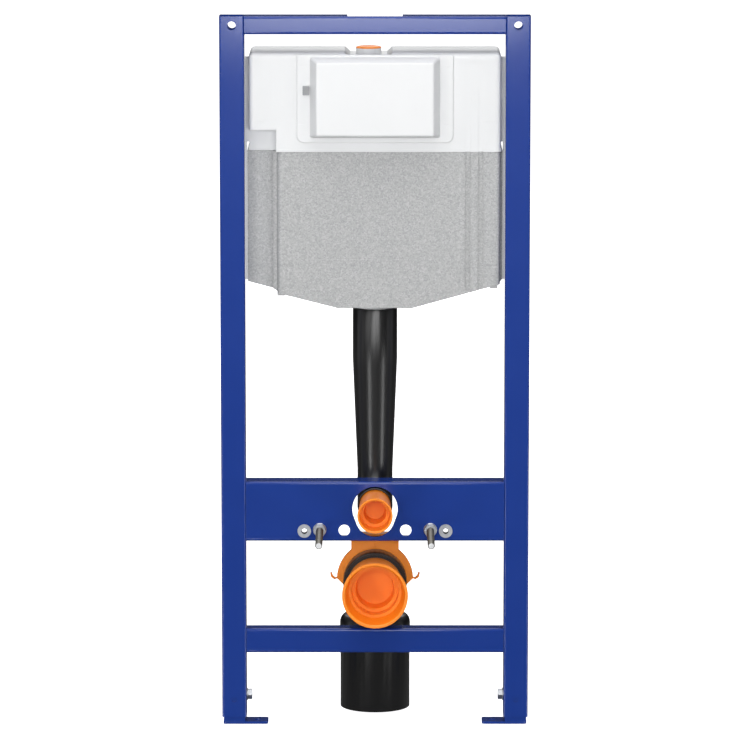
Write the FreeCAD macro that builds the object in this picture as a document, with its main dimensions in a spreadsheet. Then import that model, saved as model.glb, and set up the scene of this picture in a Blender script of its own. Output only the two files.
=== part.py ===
import FreeCAD, Part
import math
import os
import re

import Sketcher
from FreeCAD import Vector

# Wall hung toilet frame with a concealed cistern, in millimetres.
# X runs along the wall, Y from the room into the wall, Z up from the floor.
# The posts' middle lies on Y = 0, the front of the frame faces -Y.

SIZES = (
    # the two posts
    ("post_axis", 230.0),
    ("post_width", 40.0),
    ("post_wall", 2.0),
    ("post_round", 3.0),
    ("post_bottom", 12.0),
    ("frame_height", 1160.0),
    ("wall_hole_drop", 15.0),
    ("wall_hole_radius", 7.0),
    ("dimple_height", 41.0),
    ("dimple_radius", 4.0),
    # feet that slide in the posts, and the bolts that clamp them
    ("leg_clearance", 0.5),
    ("leg_wall", 2.5),
    ("leg_length", 330.0),
    ("foot_thickness", 4.0),
    ("foot_outer_reach", 18.0),
    ("foot_inner_reach", 55.0),
    ("foot_depth", 36.0),
    ("foot_hole_inset", 38.0),
    ("foot_hole_radius", 5.25),
    ("foot_corner", 4.0),
    ("clamp_height", 46.6),
    ("clamp_shank_radius", 5.0),
    ("clamp_head_flats", 16.0),
    ("clamp_head_height", 7.5),
    ("clamp_washer_radius", 10.5),
    ("clamp_washer_height", 1.5),
    ("free_gap", 0.3),
    # cross rails
    ("sheet_wall", 2.5),
    ("bend_round", 4.0),
    ("top_rail_height", 29.0),
    ("top_cutout_half", 44.5),
    ("top_cutout_depth", 34.0),
    ("plate_bottom", 305.0),
    ("plate_height", 98.0),
    ("low_rail_drop", 73.9),
    ("low_rail_height", 40.0),
    ("low_rail_depth", 30.0),
    # openings of the mounting plate, measured up from its lower edge
    ("egg_top_rise", 53.0),
    ("egg_top_radius", 36.8),
    ("egg_low_rise", 39.0),
    ("egg_low_radius", 31.9),
    ("stud_spread", 90.0),
    ("stud_rise", 19.0),
    ("stud_radius", 6.0),
    ("stud_seat_step", 0.4),
    ("stud_shoulder", 1.5),
    ("stud_reach", 139.0),
    ("stud_tail", 34.0),
    ("stud_chamfer", 1.5),
    ("nut_flats", 19.0),
    ("nut_height", 10.0),
    ("nut_flange_radius", 11.0),
    ("nut_flange_height", 2.0),
    ("bush_step", 25.0),
    ("bush_rise", 17.0),
    ("bush_radius", 11.0),
    ("bush_bore_radius", 4.75),
    ("bush_lip", 2.0),
    ("bush_neck_radius", 8.0),
    ("bush_tail", 14.0),
    ("plain_hole_step", 40.0),
    ("plain_hole_rise", 18.0),
    ("plain_hole_radius", 9.3),
    # cistern tank
    ("tank_drop", 59.5),
    ("upper_height", 159.5),
    ("tank_side_gap", 7.0),
    ("tank_front", -10.0),
    ("tank_back", 120.0),
    ("tank_wall", 3.0),
    ("tank_round", 8.0),
    ("side_step", 25.0),
    ("side_step_edge", 159.0),
    ("side_step_rise", 35.5),
    ("lug_front", 12.0),
    ("lug_thickness", 8.0),
    ("lug_top_drop", 8.0),
    ("lug_low_rise", 14.0),
    ("ledge_height", 4.0),
    ("ledge_rise", 1.2),
    ("notch_offset", -10.2),
    ("notch_half", 38.4),
    ("notch_floor_half", 30.0),
    ("notch_depth", 8.4),
    ("neck_radius", 20.5),
    ("neck_rise", 2.5),
    # flutes, seams and bands on the side panels of the tank
    ("flute_width", 3.4),
    ("flute_pitch", 7.6),
    ("flute_depth", 0.9),
    ("flute_left_edge", 131.0),
    ("flute_right_edge", 138.0),
    ("flute_top_drop", 12.5),
    ("flute_low_rise", 51.0),
    ("seam_height", 1.4),
    ("seam_depth", 0.9),
    ("seam_rise", 48.2),
    ("seam_inner", 176.0),
    ("seam_outer", 195.0),
    ("band_inner", 149.4),
    ("band_outer", 170.3),
    ("band_half", 4.3),
    ("band_depth", 2.2),
    ("groove_depth", 3.0),
    # foam jacket around the lower part of the tank
    ("jacket_margin", 4.0),
    ("jacket_wall", 9.0),
    ("jacket_height", 254.3),
    ("jacket_floor", 12.0),
    ("floor_half", 60.0),
    ("left_rise", 41.3),
    ("left_corner_rise", 30.0),
    ("bulge_edge", 158.0),
    ("bulge_rise", 24.8),
    ("right_edge_inset", 20.3),
    ("right_rise", 34.5),
    ("right_corner_rise", 37.8),
    ("right_corner_inset", 5.5),
    ("corner_rise", 44.5),
    ("bulge_inset", 4.0),
    ("bulge_corner_rise", 38.2),
    ("jacket_round", 9.0),
    ("jacket_low_round", 1.0),
    ("rib_width", 6.0),
    ("rib_reach", 12.0),
    ("tab_width", 12.5),
    ("tab_drop", 4.5),
    ("tab_depth", 18.0),
    ("crease_rise", 76.8),
    ("crease_half", 100.0),
    ("crease_height", 2.4),
    ("crease_reach", 0.7),
    # service opening of the tank, measured down from the tank's top
    ("pad_half", 126.0),
    ("pad_drop", 2.5),
    ("pad_low_rise", 14.7),
    ("pad_reach", 4.0),
    ("pad_round", 12.0),
    ("pad_edge", 1.6),
    ("clip_inner", 110.0),
    ("clip_outer", 124.0),
    ("clip_upper_drop", 21.5),
    ("clip_lower_drop", 113.8),
    ("slot_width", 1.4),
    ("slot_half", 22.5),
    ("box_half", 104.5),
    ("box_drop", 6.5),
    ("box_low_rise", 23.2),
    ("box_reach", 36.0),
    ("box_taper", 10.0),
    ("box_taper_height", 5.4),
    ("box_wall", 2.5),
    ("box_round", 4.0),
    ("latch_step", 0.8),
    ("latch_drop", 60.0),
    ("latch_width", 11.0),
    ("latch_height", 15.0),
    ("latch_reach", 3.0),
    # plug of the water inlet
    ("inlet_stem_radius", 14.0),
    ("inlet_wall", 2.5),
    ("inlet_flat", 1.4),
    ("inlet_dome", 2.4),
    ("inlet_depth", 16.0),
    # flush pipe
    ("pipe_wall", 2.75),
    ("pipe_gap", 6.7),
    ("pipe_top_radius", 36.25),
    ("pipe_top_length", 85.0),
    ("pipe_radius", 28.75),
    ("pipe_taper_rise", 47.7),
    ("flush_rise", 59.3),
    ("pipe_bend", 40.0),
    ("pipe_outlet_reach", 22.0),
    ("collar_wall", 3.0),
    ("collar_insert", 26.0),
    # plug of the flush pipe
    ("plug_wall", 2.2),
    ("plug_reach", 95.0),
    ("plug_lead", 2.0),
    ("flush_plug_inset", 3.95),
    ("flush_plug_flare", 3.7),
    ("flush_plug_insert", 24.0),
    ("flush_plug_step", 30.0),
    ("flush_plug_depth", 58.0),
    ("flush_plug_shelf", 4.2),
    ("flush_plug_floor", 9.4),
    ("cup_draft", 3.0),
    # drain elbow: socket to the front, bend, wide spigot down
    ("drain_drop", 71.6),
    ("rail_clearance", 0.7),
    ("drain_wall", 4.0),
    ("socket_radius", 51.8),
    ("socket_depth", 36.0),
    ("drain_tube_inset", 5.8),
    ("drain_bend", 48.0),
    ("drain_radius", 57.0),
    ("drain_bottom", 12.5),
    ("tube_straight", 17.8),
    ("upper_reach", 0.8),
    ("stop_drop", 5.5),
    ("stop_width", 4.0),
    ("stop_reach", 1.4),
    ("shoulder_round", 14.4),
    ("seal_width", 3.5),
    ("seal_depth", 12.0),
    # plug of the drain, measured from its thinnest end
    ("drain_plug_flare", 9.3),
    ("drain_plug_insert", 30.0),
    ("drain_ledge_depth", 35.0),
    ("drain_ledge_inset", 1.2),
    ("drain_shelf_depth", 55.0),
    ("drain_shelf_inset", 6.7),
    ("drain_floor_depth", 80.0),
    ("drain_floor_inset", 15.0),
    # clamp that hangs on the mounting plate and grips the elbow behind its socket
    ("yoke_width", 10.4),
    ("yoke_depth", 10.0),
    ("yoke_neck_half", 39.0),
    ("yoke_flare", 8.0),
    ("yoke_flare_rise", 48.6),
    ("yoke_mouth", 13.5),
    ("yoke_lead", 8.5),
    ("yoke_rib_half", 1.1),
    ("yoke_rib_reach", 1.0),
    ("hook_wall", 2.3),
    ("hook_first", 5.0),
    ("hook_second", 10.2),
    ("hook_reach", 13.2),
    ("hook_dip", 1.8),
    ("hook_bend", 2.3),
    ("hook_rise", 9.4),
    ("tongue_reach", 12.0),
    ("tongue_height", 4.0),
)

# heights and places that follow from the sizes
INNER_FACE = "(post_axis - post_width / 2)"
EGG_TOP = "(plate_bottom + egg_top_rise)"
EGG_LOW = "(plate_bottom + egg_low_rise)"
STUD_HEIGHT = "(plate_bottom + stud_rise)"
SEAT_RADIUS = "(stud_radius - stud_seat_step)"
FLUSH_HEIGHT = "(plate_bottom + flush_rise)"
DRAIN_HEIGHT = "(plate_bottom - drain_drop)"
LOW_RAIL = f"({DRAIN_HEIGHT} - low_rail_drop - low_rail_height)"
TANK_TOP = "(frame_height - tank_drop)"
BORDER = f"({TANK_TOP} - upper_height)"
JACKET_LOW = f"({BORDER} - jacket_height)"
TANK_LOW = f"({JACKET_LOW} + jacket_floor)"
TANK_HALF = f"({INNER_FACE} - tank_side_gap)"
LOWER_HALF = f"({TANK_HALF} - jacket_wall)"
JACKET_HALF = f"({INNER_FACE} - jacket_margin)"
NOTCH_FLOOR = f"({TANK_TOP} - notch_depth)"
NECK_TOP = f"({TANK_TOP} + neck_rise)"
PIPE_AXIS = "((tank_front + tank_back) / 2)"
PIPE_TOP = f"({JACKET_LOW} - pipe_gap)"
PIPE_BORE = "(pipe_radius - pipe_wall)"
COLLAR_RADIUS = "(pipe_top_radius - pipe_wall - free_gap)"
PAD_FACE = "(pad_reach - tank_front)"
SOCKET_BORE = "(socket_radius - drain_wall)"
DRAIN_TUBE = "(socket_radius - drain_tube_inset)"
DRAIN_UPPER = "(drain_radius + upper_reach)"
DRAIN_AXIS = f"(low_rail_depth - post_width / 2 + rail_clearance + {DRAIN_UPPER})"
DRAIN_SHOULDER = f"({DRAIN_HEIGHT} - drain_bend - tube_straight)"
DRAIN_ROOT = f"({SOCKET_BORE} - seal_width - free_gap)"
REAR_FACE = "(lug_front + jacket_wall)"
YOKE_RADIUS = "(socket_radius + free_gap + yoke_width)"
GRIP_RADIUS = f"({DRAIN_TUBE} + 2 * free_gap)"
PLUG_MOUTH = "(-post_width / 2 - plug_reach)"

# how a sketch names the points of a line, an arc or a circle, and its own origin
POINT = {name: code for code, name in enumerate(("start", "end", "centre"), start=1)}
ORIGIN = (-1, POINT["start"])
FLUTES_LEFT = 9
FLUTES_RIGHT = 8
DOME_STEPS = 6
RIGHT_ANGLE = 90.0
FULL_TURN = 360.0
LOOSE = 0.01
OVERCUT = 1.0

document = FreeCAD.newDocument("WallHungFrame")
sheet = document.addObject("Spreadsheet::Sheet", "Sizes")


def fill_sheet():
    """One row of the sheet for each driving size, in millimetres."""
    for row, (alias, number) in enumerate(SIZES, start=1):
        cell = f"B{row}"
        sheet.set(f"A{row}", alias)
        sheet.set(cell, str(number))
        sheet.setAlias(cell, alias)
    document.recompute()


NAMES = re.compile(r"\b(" + "|".join(alias for alias, _ in SIZES) + r")\b")


def sized(text):
    """The expression with each size taken from the sheet."""
    return NAMES.sub(r"Sizes.\1", text)


def value(text):
    """The expression's present value."""
    return float(sheet.evalExpression(sized(text)))


def new_body(label):
    body = document.addObject("PartDesign::Body", label)
    body.Label = label
    return body


def new_sketch(body, role, offset="0"):
    """A sketch on one of the body's own origin planes, moved along its normal."""
    sketch = body.newObject("Sketcher::SketchObject", "Sketch")
    plane = next(f for f in body.Origin.OriginFeatures if f.Role == role)
    sketch.AttachmentSupport = [(plane, "")]
    sketch.MapMode = "FlatFace"
    sketch.setExpression("AttachmentOffset.Base.z", sized(offset))
    return sketch


def bind(sketch, kind, geometry, point, text):
    """Places a point of the sketch by an expression."""
    index = sketch.addConstraint(
        Sketcher.Constraint(kind, *ORIGIN, geometry, POINT[point], value(text))
    )
    sketch.setExpression(f"Constraints[{index}]", sized(text))


def outline(sketch, corners):
    """A closed outline with one corner for each pair of expressions."""
    points = [Vector(value(x), value(y), 0) for x, y in corners]
    count = len(points)
    first = sketch.GeometryCount
    for i in range(count):
        sketch.addGeometry(Part.LineSegment(points[i], points[(i + 1) % count]), False)
    for i in range(count):
        following = first + (i + 1) % count
        joint = (first + i, POINT["end"], following, POINT["start"])
        sketch.addConstraint(Sketcher.Constraint("Coincident", *joint))
    for i, (x, y) in enumerate(corners):
        bind(sketch, "DistanceX", first + i, "start", x)
        bind(sketch, "DistanceY", first + i, "start", y)


def circle(sketch, x, y, radius):
    """A circle with its centre and radius given by expressions."""
    centre = Vector(value(x), value(y), 0)
    index = sketch.addGeometry(Part.Circle(centre, Vector(0, 0, 1), value(radius)), False)
    bind(sketch, "DistanceX", index, "centre", x)
    bind(sketch, "DistanceY", index, "centre", y)
    row = sketch.addConstraint(Sketcher.Constraint("Radius", index, value(radius)))
    sketch.setExpression(f"Constraints[{row}]", sized(radius))


def rectangle(sketch, x_low, x_high, y_low, y_high):
    outline(sketch, ((x_low, y_low), (x_high, y_low), (x_high, y_high), (x_low, y_high)))


def pad(body, sketch, length, back=False):
    """Material added along the sketch's normal, or against it."""
    feature = body.newObject("PartDesign::Pad", "Pad")
    feature.Profile = sketch
    feature.setExpression("Length", sized(length))
    feature.Reversed = back
    document.recompute()
    return feature


def pocket(body, sketch, length, ahead=False):
    """Material taken away against the sketch's normal, or along it."""
    before = body.Shape.Volume
    feature = body.newObject("PartDesign::Pocket", "Pocket")
    feature.Profile = sketch
    feature.setExpression("Length", sized(length))
    feature.Reversed = ahead
    document.recompute()
    if not body.Shape.Volume < before - LOOSE:
        raise ValueError(f"{body.Label}: a pocket cuts nothing")
    return feature


def runs_along(edge, direction):
    """True for a straight edge in the direction."""
    box = edge.BoundBox
    extent = Vector(box.XLength, box.YLength, box.ZLength)
    along = abs(extent.dot(direction))
    return along > LOOSE and extent.Length - along < LOOSE


def rounded(body, radius, test):
    """Fillets the edges of the body's latest feature that pass the test."""
    base = body.Tip
    edges = enumerate(base.Shape.Edges, start=1)
    names = [f"Edge{number}" for number, edge in edges if test(edge)]
    if not names:
        raise ValueError(f"{body.Label}: no edge to round")
    feature = body.newObject("PartDesign::Fillet", "Fillet")
    feature.Base = (base, names)
    feature.setExpression("Radius", sized(radius))
    document.recompute()
    return feature


def turned(label, corners, role="YZ_Plane", axis="H_Axis"):
    """A body turned about an axis of its sketch."""
    body = new_body(label)
    sketch = new_sketch(body, role)
    outline(sketch, corners)
    feature = body.newObject("PartDesign::Revolution", "Revolution")
    feature.Profile = sketch
    feature.ReferenceAxis = (sketch, [axis])
    feature.Angle = FULL_TURN
    document.recompute()
    return body


def placed(body, x="0", y="0", z="0"):
    """Sets where the body stands, by expressions."""
    for name, text in (("x", x), ("y", y), ("z", z)):
        body.setExpression(f"Placement.Base.{name}", sized(text))
    document.recompute()
    return body


def repeated(body, cut, sketch, count, step):
    """The cut repeated along the first axis of its sketch."""
    pattern = body.newObject("PartDesign::LinearPattern", "Row")
    pattern.Originals = [cut]
    pattern.Direction = (sketch, ["H_Axis"])
    pattern.Occurrences = count
    pattern.setExpression("Length", sized(f"{count - 1} * {step}"))
    body.Tip = pattern
    document.recompute()
    return pattern


def mirrored(body, features):
    """The features of one half of the body repeated on its other half."""
    mirror = body.newObject("PartDesign::Mirrored", "Mirrored")
    mirror.Originals = features
    plane = next(f for f in body.Origin.OriginFeatures if f.Role == "YZ_Plane")
    mirror.MirrorPlane = (plane, [""])
    body.Tip = mirror
    document.recompute()
    return mirror


def hexagon(sketch, flats):
    """Six corners around the sketch's origin, two of them on its first axis."""
    reach = f"{flats} / sqrt(3)"
    half = f"{flats} / 2"
    outline(
        sketch,
        (
            (reach, "0"),
            (f"{reach} / 2", half),
            (f"-{reach} / 2", half),
            (f"-{reach}", "0"),
            (f"-{reach} / 2", f"-{half}"),
            (f"{reach} / 2", f"-{half}"),
        ),
    )


def post(label, side):
    """Square tube with a hole for the wall bolt and one for the foot clamp."""
    body = new_body(label)
    half = "post_width / 2"
    section = new_sketch(body, "XY_Plane", "post_bottom")
    rectangle(section, f"-{half}", half, f"-{half}", half)
    pad(body, section, "frame_height - post_bottom")
    rounded(body, "post_round", lambda edge: runs_along(edge, Vector(0, 0, 1)))
    hollow = new_sketch(body, "XY_Plane", "frame_height")
    inner = f"({half} - post_wall)"
    rectangle(hollow, f"-{inner}", inner, f"-{inner}", inner)
    pocket(body, hollow, "frame_height - post_bottom")
    wall_hole = new_sketch(body, "XZ_Plane", half)
    circle(wall_hole, "0", "frame_height - wall_hole_drop", "wall_hole_radius")
    pocket(body, wall_hole, "post_width")
    dimple = new_sketch(body, "XZ_Plane", half)
    circle(dimple, "0", "dimple_height", "dimple_radius")
    pocket(body, dimple, "post_wall + post_round")
    clamp_hole = new_sketch(body, "YZ_Plane")
    circle(clamp_hole, "0", "clamp_height", "clamp_shank_radius + free_gap")
    pocket(body, clamp_hole, half, ahead=side < 0)
    return placed(body, x=f"{side} * post_axis")


def foot(label, side):
    """Floor plate with a square leg that slides in the post."""
    body = new_body(label)
    half = "(post_width / 2 - post_wall - leg_clearance)"
    outer = f"{side} * foot_outer_reach"
    inner = f"-{side} * foot_inner_reach"
    plate = new_sketch(body, "XY_Plane")
    low, high = (outer, inner) if side < 0 else (inner, outer)
    rectangle(plate, low, high, "-foot_depth / 2", "foot_depth / 2")
    pad(body, plate, "foot_thickness")
    rounded(body, "foot_corner", lambda edge: runs_along(edge, Vector(0, 0, 1)))
    hole = new_sketch(body, "XY_Plane", "foot_thickness")
    circle(hole, f"-{side} * foot_hole_inset", "0", "foot_hole_radius")
    pocket(body, hole, "foot_thickness")
    leg = new_sketch(body, "XY_Plane", "foot_thickness")
    rectangle(leg, f"-{half}", half, f"-{half}", half)
    bore = f"({half} - leg_wall)"
    rectangle(leg, f"-{bore}", bore, f"-{bore}", bore)
    pad(body, leg, "leg_length")
    return placed(body, x=f"{side} * post_axis")


def foot_bolt(label, side):
    """Hexagon bolt with a washer, screwed through the post's inner wall."""
    body = new_body(label)
    washer = new_sketch(body, "YZ_Plane")
    circle(washer, "0", "0", "clamp_washer_radius")
    pad(body, washer, "clamp_washer_height", back=side > 0)
    head = new_sketch(body, "YZ_Plane", f"-{side} * clamp_washer_height")
    hexagon(head, "clamp_head_flats")
    pad(body, head, "clamp_head_height", back=side > 0)
    shank = new_sketch(body, "YZ_Plane")
    circle(shank, "0", "0", "clamp_shank_radius")
    pad(body, shank, "post_wall + leg_clearance - free_gap", back=side < 0)
    return placed(body, x=f"{side} * {INNER_FACE}", z="clamp_height")


def channel(label, bottom, height, depth):
    """Folded sheet between the posts, open towards the wall."""
    body = new_body(label)
    front = "-post_width / 2"
    section = new_sketch(body, "YZ_Plane", f"-{INNER_FACE}")
    rectangle(section, front, f"{front} + {depth}", bottom, f"{bottom} + {height}")
    pad(body, section, f"2 * {INNER_FACE}")
    rounded(
        body,
        "bend_round",
        lambda edge: runs_along(edge, Vector(1, 0, 0))
        and edge.BoundBox.YMax < value(front) + LOOSE,
    )
    inside = new_sketch(body, "YZ_Plane", f"-{INNER_FACE}")
    rectangle(
        inside,
        f"{front} + sheet_wall",
        f"{front} + {depth}",
        f"{bottom} + sheet_wall",
        f"{bottom} + {height} - sheet_wall",
    )
    pocket(body, inside, f"2 * {INNER_FACE}", ahead=True)
    return body


def top_rail():
    """Upper channel with a cut-out in its top flange for the water inlet."""
    bottom = "(frame_height - top_rail_height)"
    body = channel("top_rail", bottom, "top_rail_height", "post_width")
    back = "post_width / 2"
    opening = new_sketch(body, "XY_Plane", "frame_height")
    rectangle(opening, "-top_cutout_half", "top_cutout_half", f"{back} - top_cutout_depth", back)
    pocket(body, opening, "sheet_wall")
    return body


def mounting_plate():
    """Channel that carries the pan: egg shaped opening, studs, bushes and holes."""
    body = channel("mounting_plate", "plate_bottom", "plate_height", "post_width")
    face = "post_width / 2"
    for height, radius in ((EGG_TOP, "egg_top_radius"), (EGG_LOW, "egg_low_radius")):
        opening = new_sketch(body, "XZ_Plane", face)
        circle(opening, "0", height, radius)
        pocket(body, opening, "sheet_wall")
    # the straight flanks of the egg touch both circles
    rise = "((egg_top_radius - egg_low_radius) / (egg_top_rise - egg_low_rise))"
    run = f"sqrt(1 - {rise} * {rise})"
    low = f"({EGG_LOW} - egg_low_radius * {rise})"
    high = f"({EGG_TOP} - egg_top_radius * {rise})"
    flanks = new_sketch(body, "XZ_Plane", face)
    outline(
        flanks,
        (
            (f"-egg_low_radius * {run}", low),
            (f"egg_low_radius * {run}", low),
            (f"egg_top_radius * {run}", high),
            (f"-egg_top_radius * {run}", high),
        ),
    )
    pocket(body, flanks, "sheet_wall")
    cuts = []
    for offset, height, radius in (
        ("stud_spread - plain_hole_step", "plain_hole_rise", "plain_hole_radius"),
        ("stud_spread", "stud_rise", "stud_radius + free_gap"),
        ("stud_spread + bush_step", "bush_rise", "bush_neck_radius + free_gap"),
    ):
        hole = new_sketch(body, "XZ_Plane", face)
        circle(hole, offset, f"plate_bottom + {height}", radius)
        cuts.append(pocket(body, hole, "sheet_wall"))
    mirrored(body, cuts)
    return body


def stud(label, side):
    """Rod that carries the pan: chamfered ends, thinner where the nuts sit."""
    front = "-(post_width / 2 + stud_reach)"
    seat = "-(post_width / 2 + nut_flange_height + nut_height + stud_shoulder)"
    tail = "(stud_tail - post_width / 2)"
    body = turned(
        label,
        (
            (front, "0"),
            (tail, "0"),
            (tail, f"{SEAT_RADIUS} - stud_chamfer"),
            (f"{tail} - stud_chamfer", SEAT_RADIUS),
            (seat, SEAT_RADIUS),
            (f"{seat} - stud_seat_step", "stud_radius"),
            (f"{front} + stud_chamfer", "stud_radius"),
            (front, "stud_radius - stud_chamfer"),
        ),
    )
    return placed(body, x=f"{side} * stud_spread", z=STUD_HEIGHT)


def flange_nut(label, side, behind=False):
    """Hexagon nut with a round flange, seated on the mounting plate."""
    body = new_body(label)
    bore = f"{SEAT_RADIUS} + free_gap"
    flange = new_sketch(body, "XZ_Plane")
    circle(flange, "0", "0", "nut_flange_radius")
    circle(flange, "0", "0", bore)
    pad(body, flange, "nut_flange_height", back=behind)
    offset = "-nut_flange_height" if behind else "nut_flange_height"
    flats = new_sketch(body, "XZ_Plane", offset)
    hexagon(flats, "nut_flats")
    circle(flats, "0", "0", bore)
    pad(body, flats, "nut_height", back=behind)
    y = "sheet_wall - post_width / 2" if behind else "-post_width / 2"
    return placed(body, x=f"{side} * stud_spread", y=y, z=STUD_HEIGHT)


def bush(label, side):
    """Threaded bush set in the mounting plate, for the wider stud spacing."""
    face = "-post_width / 2"
    body = turned(
        label,
        (
            (f"{face} - bush_lip", "bush_bore_radius"),
            (f"{face} + bush_tail", "bush_bore_radius"),
            (f"{face} + bush_tail", "bush_neck_radius"),
            (face, "bush_neck_radius"),
            (face, "bush_radius"),
            (f"{face} - bush_lip", "bush_radius"),
        ),
    )
    x = f"{side} * (stud_spread + bush_step)"
    return placed(body, x=x, z="plate_bottom + bush_rise")


def lower_outline(shrink, top):
    """Front outline of the tank's part behind the jacket's shoulders."""
    side = f"({LOWER_HALF} - {shrink})"
    floor = f"{TANK_LOW} + {shrink}"
    return (
        (f"-{side}", top),
        (f"-{side}", f"{TANK_LOW} + left_rise + {shrink}"),
        ("-floor_half", floor),
        ("floor_half", floor),
        (side, f"{TANK_LOW} + corner_rise + {shrink}"),
        (side, top),
    )


def bulge_outline(shrink, top):
    """The same for the part that bulges to the front."""
    left = f"(bulge_edge - jacket_wall - {shrink})"
    right = f"({LOWER_HALF} - {shrink})"
    floor = f"{TANK_LOW} + {shrink}"
    return (
        (f"-{left}", top),
        (f"-{left}", f"{TANK_LOW} + bulge_rise + {shrink}"),
        ("-floor_half", floor),
        ("floor_half", floor),
        (right, f"{TANK_LOW} + corner_rise + {shrink}"),
        (right, top),
    )


def tank_shell(body):
    """Outside of the tank: upper block, ledge, recess and the part in the jacket."""
    upper = new_sketch(body, "XZ_Plane", "-tank_back")
    rectangle(upper, f"-{TANK_HALF}", TANK_HALF, BORDER, TANK_TOP)
    pad(body, upper, "tank_back - tank_front")
    border = value(BORDER)
    rounded(body, "tank_round", lambda edge: edge.BoundBox.ZMax > border + LOOSE)
    ledge = new_sketch(body, "XY_Plane", BORDER)
    reach = f"({TANK_HALF} + ledge_rise)"
    rectangle(ledge, f"-{reach}", reach, "tank_front - ledge_rise", "tank_back")
    pad(body, ledge, "ledge_height")
    front = value("tank_front - ledge_rise")
    rounded(
        body,
        "tank_round + ledge_rise",
        lambda edge: runs_along(edge, Vector(0, 0, 1)) and edge.BoundBox.YMax < front + LOOSE,
    )
    recess = new_sketch(body, "XZ_Plane", "ledge_rise - tank_front")
    rectangle(
        recess,
        f"-{reach} - {OVERCUT}",
        "-side_step_edge",
        f"{BORDER} - {OVERCUT}",
        f"{BORDER} + side_step_rise",
    )
    pocket(body, recess, "side_step + ledge_rise")
    deep = "(tank_back - jacket_wall)"
    for shape, face in ((lower_outline, REAR_FACE), (bulge_outline, "(tank_front + jacket_wall)")):
        block = new_sketch(body, "XZ_Plane", f"-{deep}")
        outline(block, shape("0", BORDER))
        pad(body, block, f"{deep} - {face}")


def tank_hollow(body):
    """The water space: one chamber above, two that reach down into the jacket."""
    deep = "(tank_back - jacket_wall)"
    top = f"({BORDER} + side_step_rise + tank_wall)"
    for shape, face in ((lower_outline, REAR_FACE), (bulge_outline, "(tank_front + jacket_wall)")):
        space = new_sketch(body, "XZ_Plane", f"tank_wall - {deep}")
        outline(space, shape("tank_wall", f"{top} + {OVERCUT}"))
        pocket(body, space, f"{deep} - {face} - 2 * tank_wall", ahead=True)
    side = f"({TANK_HALF} - tank_wall)"
    high = f"({TANK_TOP} - tank_wall)"
    floor = f"({NOTCH_FLOOR} - tank_wall)"
    chamber = new_sketch(body, "XZ_Plane", "tank_wall - tank_back")
    outline(
        chamber,
        (
            (f"-{side}", top),
            (side, top),
            (side, high),
            ("notch_offset + notch_half + tank_wall", high),
            ("notch_offset + notch_floor_half + tank_wall", floor),
            ("notch_offset - notch_floor_half - tank_wall", floor),
            ("notch_offset - notch_half - tank_wall", high),
            (f"-{side}", high),
        ),
    )
    pocket(body, chamber, "tank_back - tank_front - 2 * tank_wall", ahead=True)


def tank_lugs(body):
    """Side lugs that hang in the posts, each with a strip down beside the jacket."""
    for side in (-1, 1):
        near = f"{side} * ({TANK_HALF} - tank_wall)"
        far = f"{side} * ({INNER_FACE} - free_gap)"
        strip = f"{side} * ({JACKET_HALF} + free_gap)"
        low = f"{BORDER} + lug_low_rise"
        lug = new_sketch(body, "XZ_Plane", "-lug_front - lug_thickness")
        outline(
            lug,
            (
                (near, low),
                (strip, low),
                (strip, f"{JACKET_LOW} + corner_rise"),
                (far, f"{JACKET_LOW} + corner_rise"),
                (far, f"{TANK_TOP} - lug_top_drop"),
                (near, f"{TANK_TOP} - lug_top_drop"),
            ),
        )
        pad(body, lug, "lug_thickness")


def tank_inlet(body):
    """Notch across the tank's top with the round neck of the water inlet."""
    notch = new_sketch(body, "XZ_Plane", "-tank_back")
    outline(
        notch,
        (
            ("notch_offset - notch_floor_half", NOTCH_FLOOR),
            ("notch_offset + notch_floor_half", NOTCH_FLOOR),
            ("notch_offset + notch_half", TANK_TOP),
            ("notch_offset - notch_half", TANK_TOP),
        ),
    )
    pocket(body, notch, "tank_back - tank_front", ahead=True)
    neck = new_sketch(body, "XY_Plane", NOTCH_FLOOR)
    circle(neck, "notch_offset", PIPE_AXIS, "neck_radius")
    pad(body, neck, f"{NECK_TOP} - {NOTCH_FLOOR}")
    bore = new_sketch(body, "XY_Plane", NECK_TOP)
    circle(bore, "notch_offset", PIPE_AXIS, "inlet_stem_radius + free_gap")
    pocket(body, bore, f"{NECK_TOP} - {NOTCH_FLOOR} + tank_wall")


def tank_pad(body):
    """Raised frame around the service opening."""
    frame = new_sketch(body, "XZ_Plane", "-tank_front - tank_wall")
    low = f"{BORDER} + pad_low_rise"
    rectangle(frame, "-pad_half", "pad_half", low, f"{TANK_TOP} - pad_drop")
    pad(body, frame, "pad_reach + tank_wall")
    corner = value(low)
    front = value(f"-{PAD_FACE}")
    rounded(
        body,
        "pad_round",
        lambda edge: runs_along(edge, Vector(0, 1, 0))
        and edge.BoundBox.YMin < front + LOOSE
        and edge.BoundBox.ZMax < corner + LOOSE,
    )
    rounded(body, "pad_edge", lambda edge: edge.BoundBox.YMax < front + LOOSE)


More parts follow.
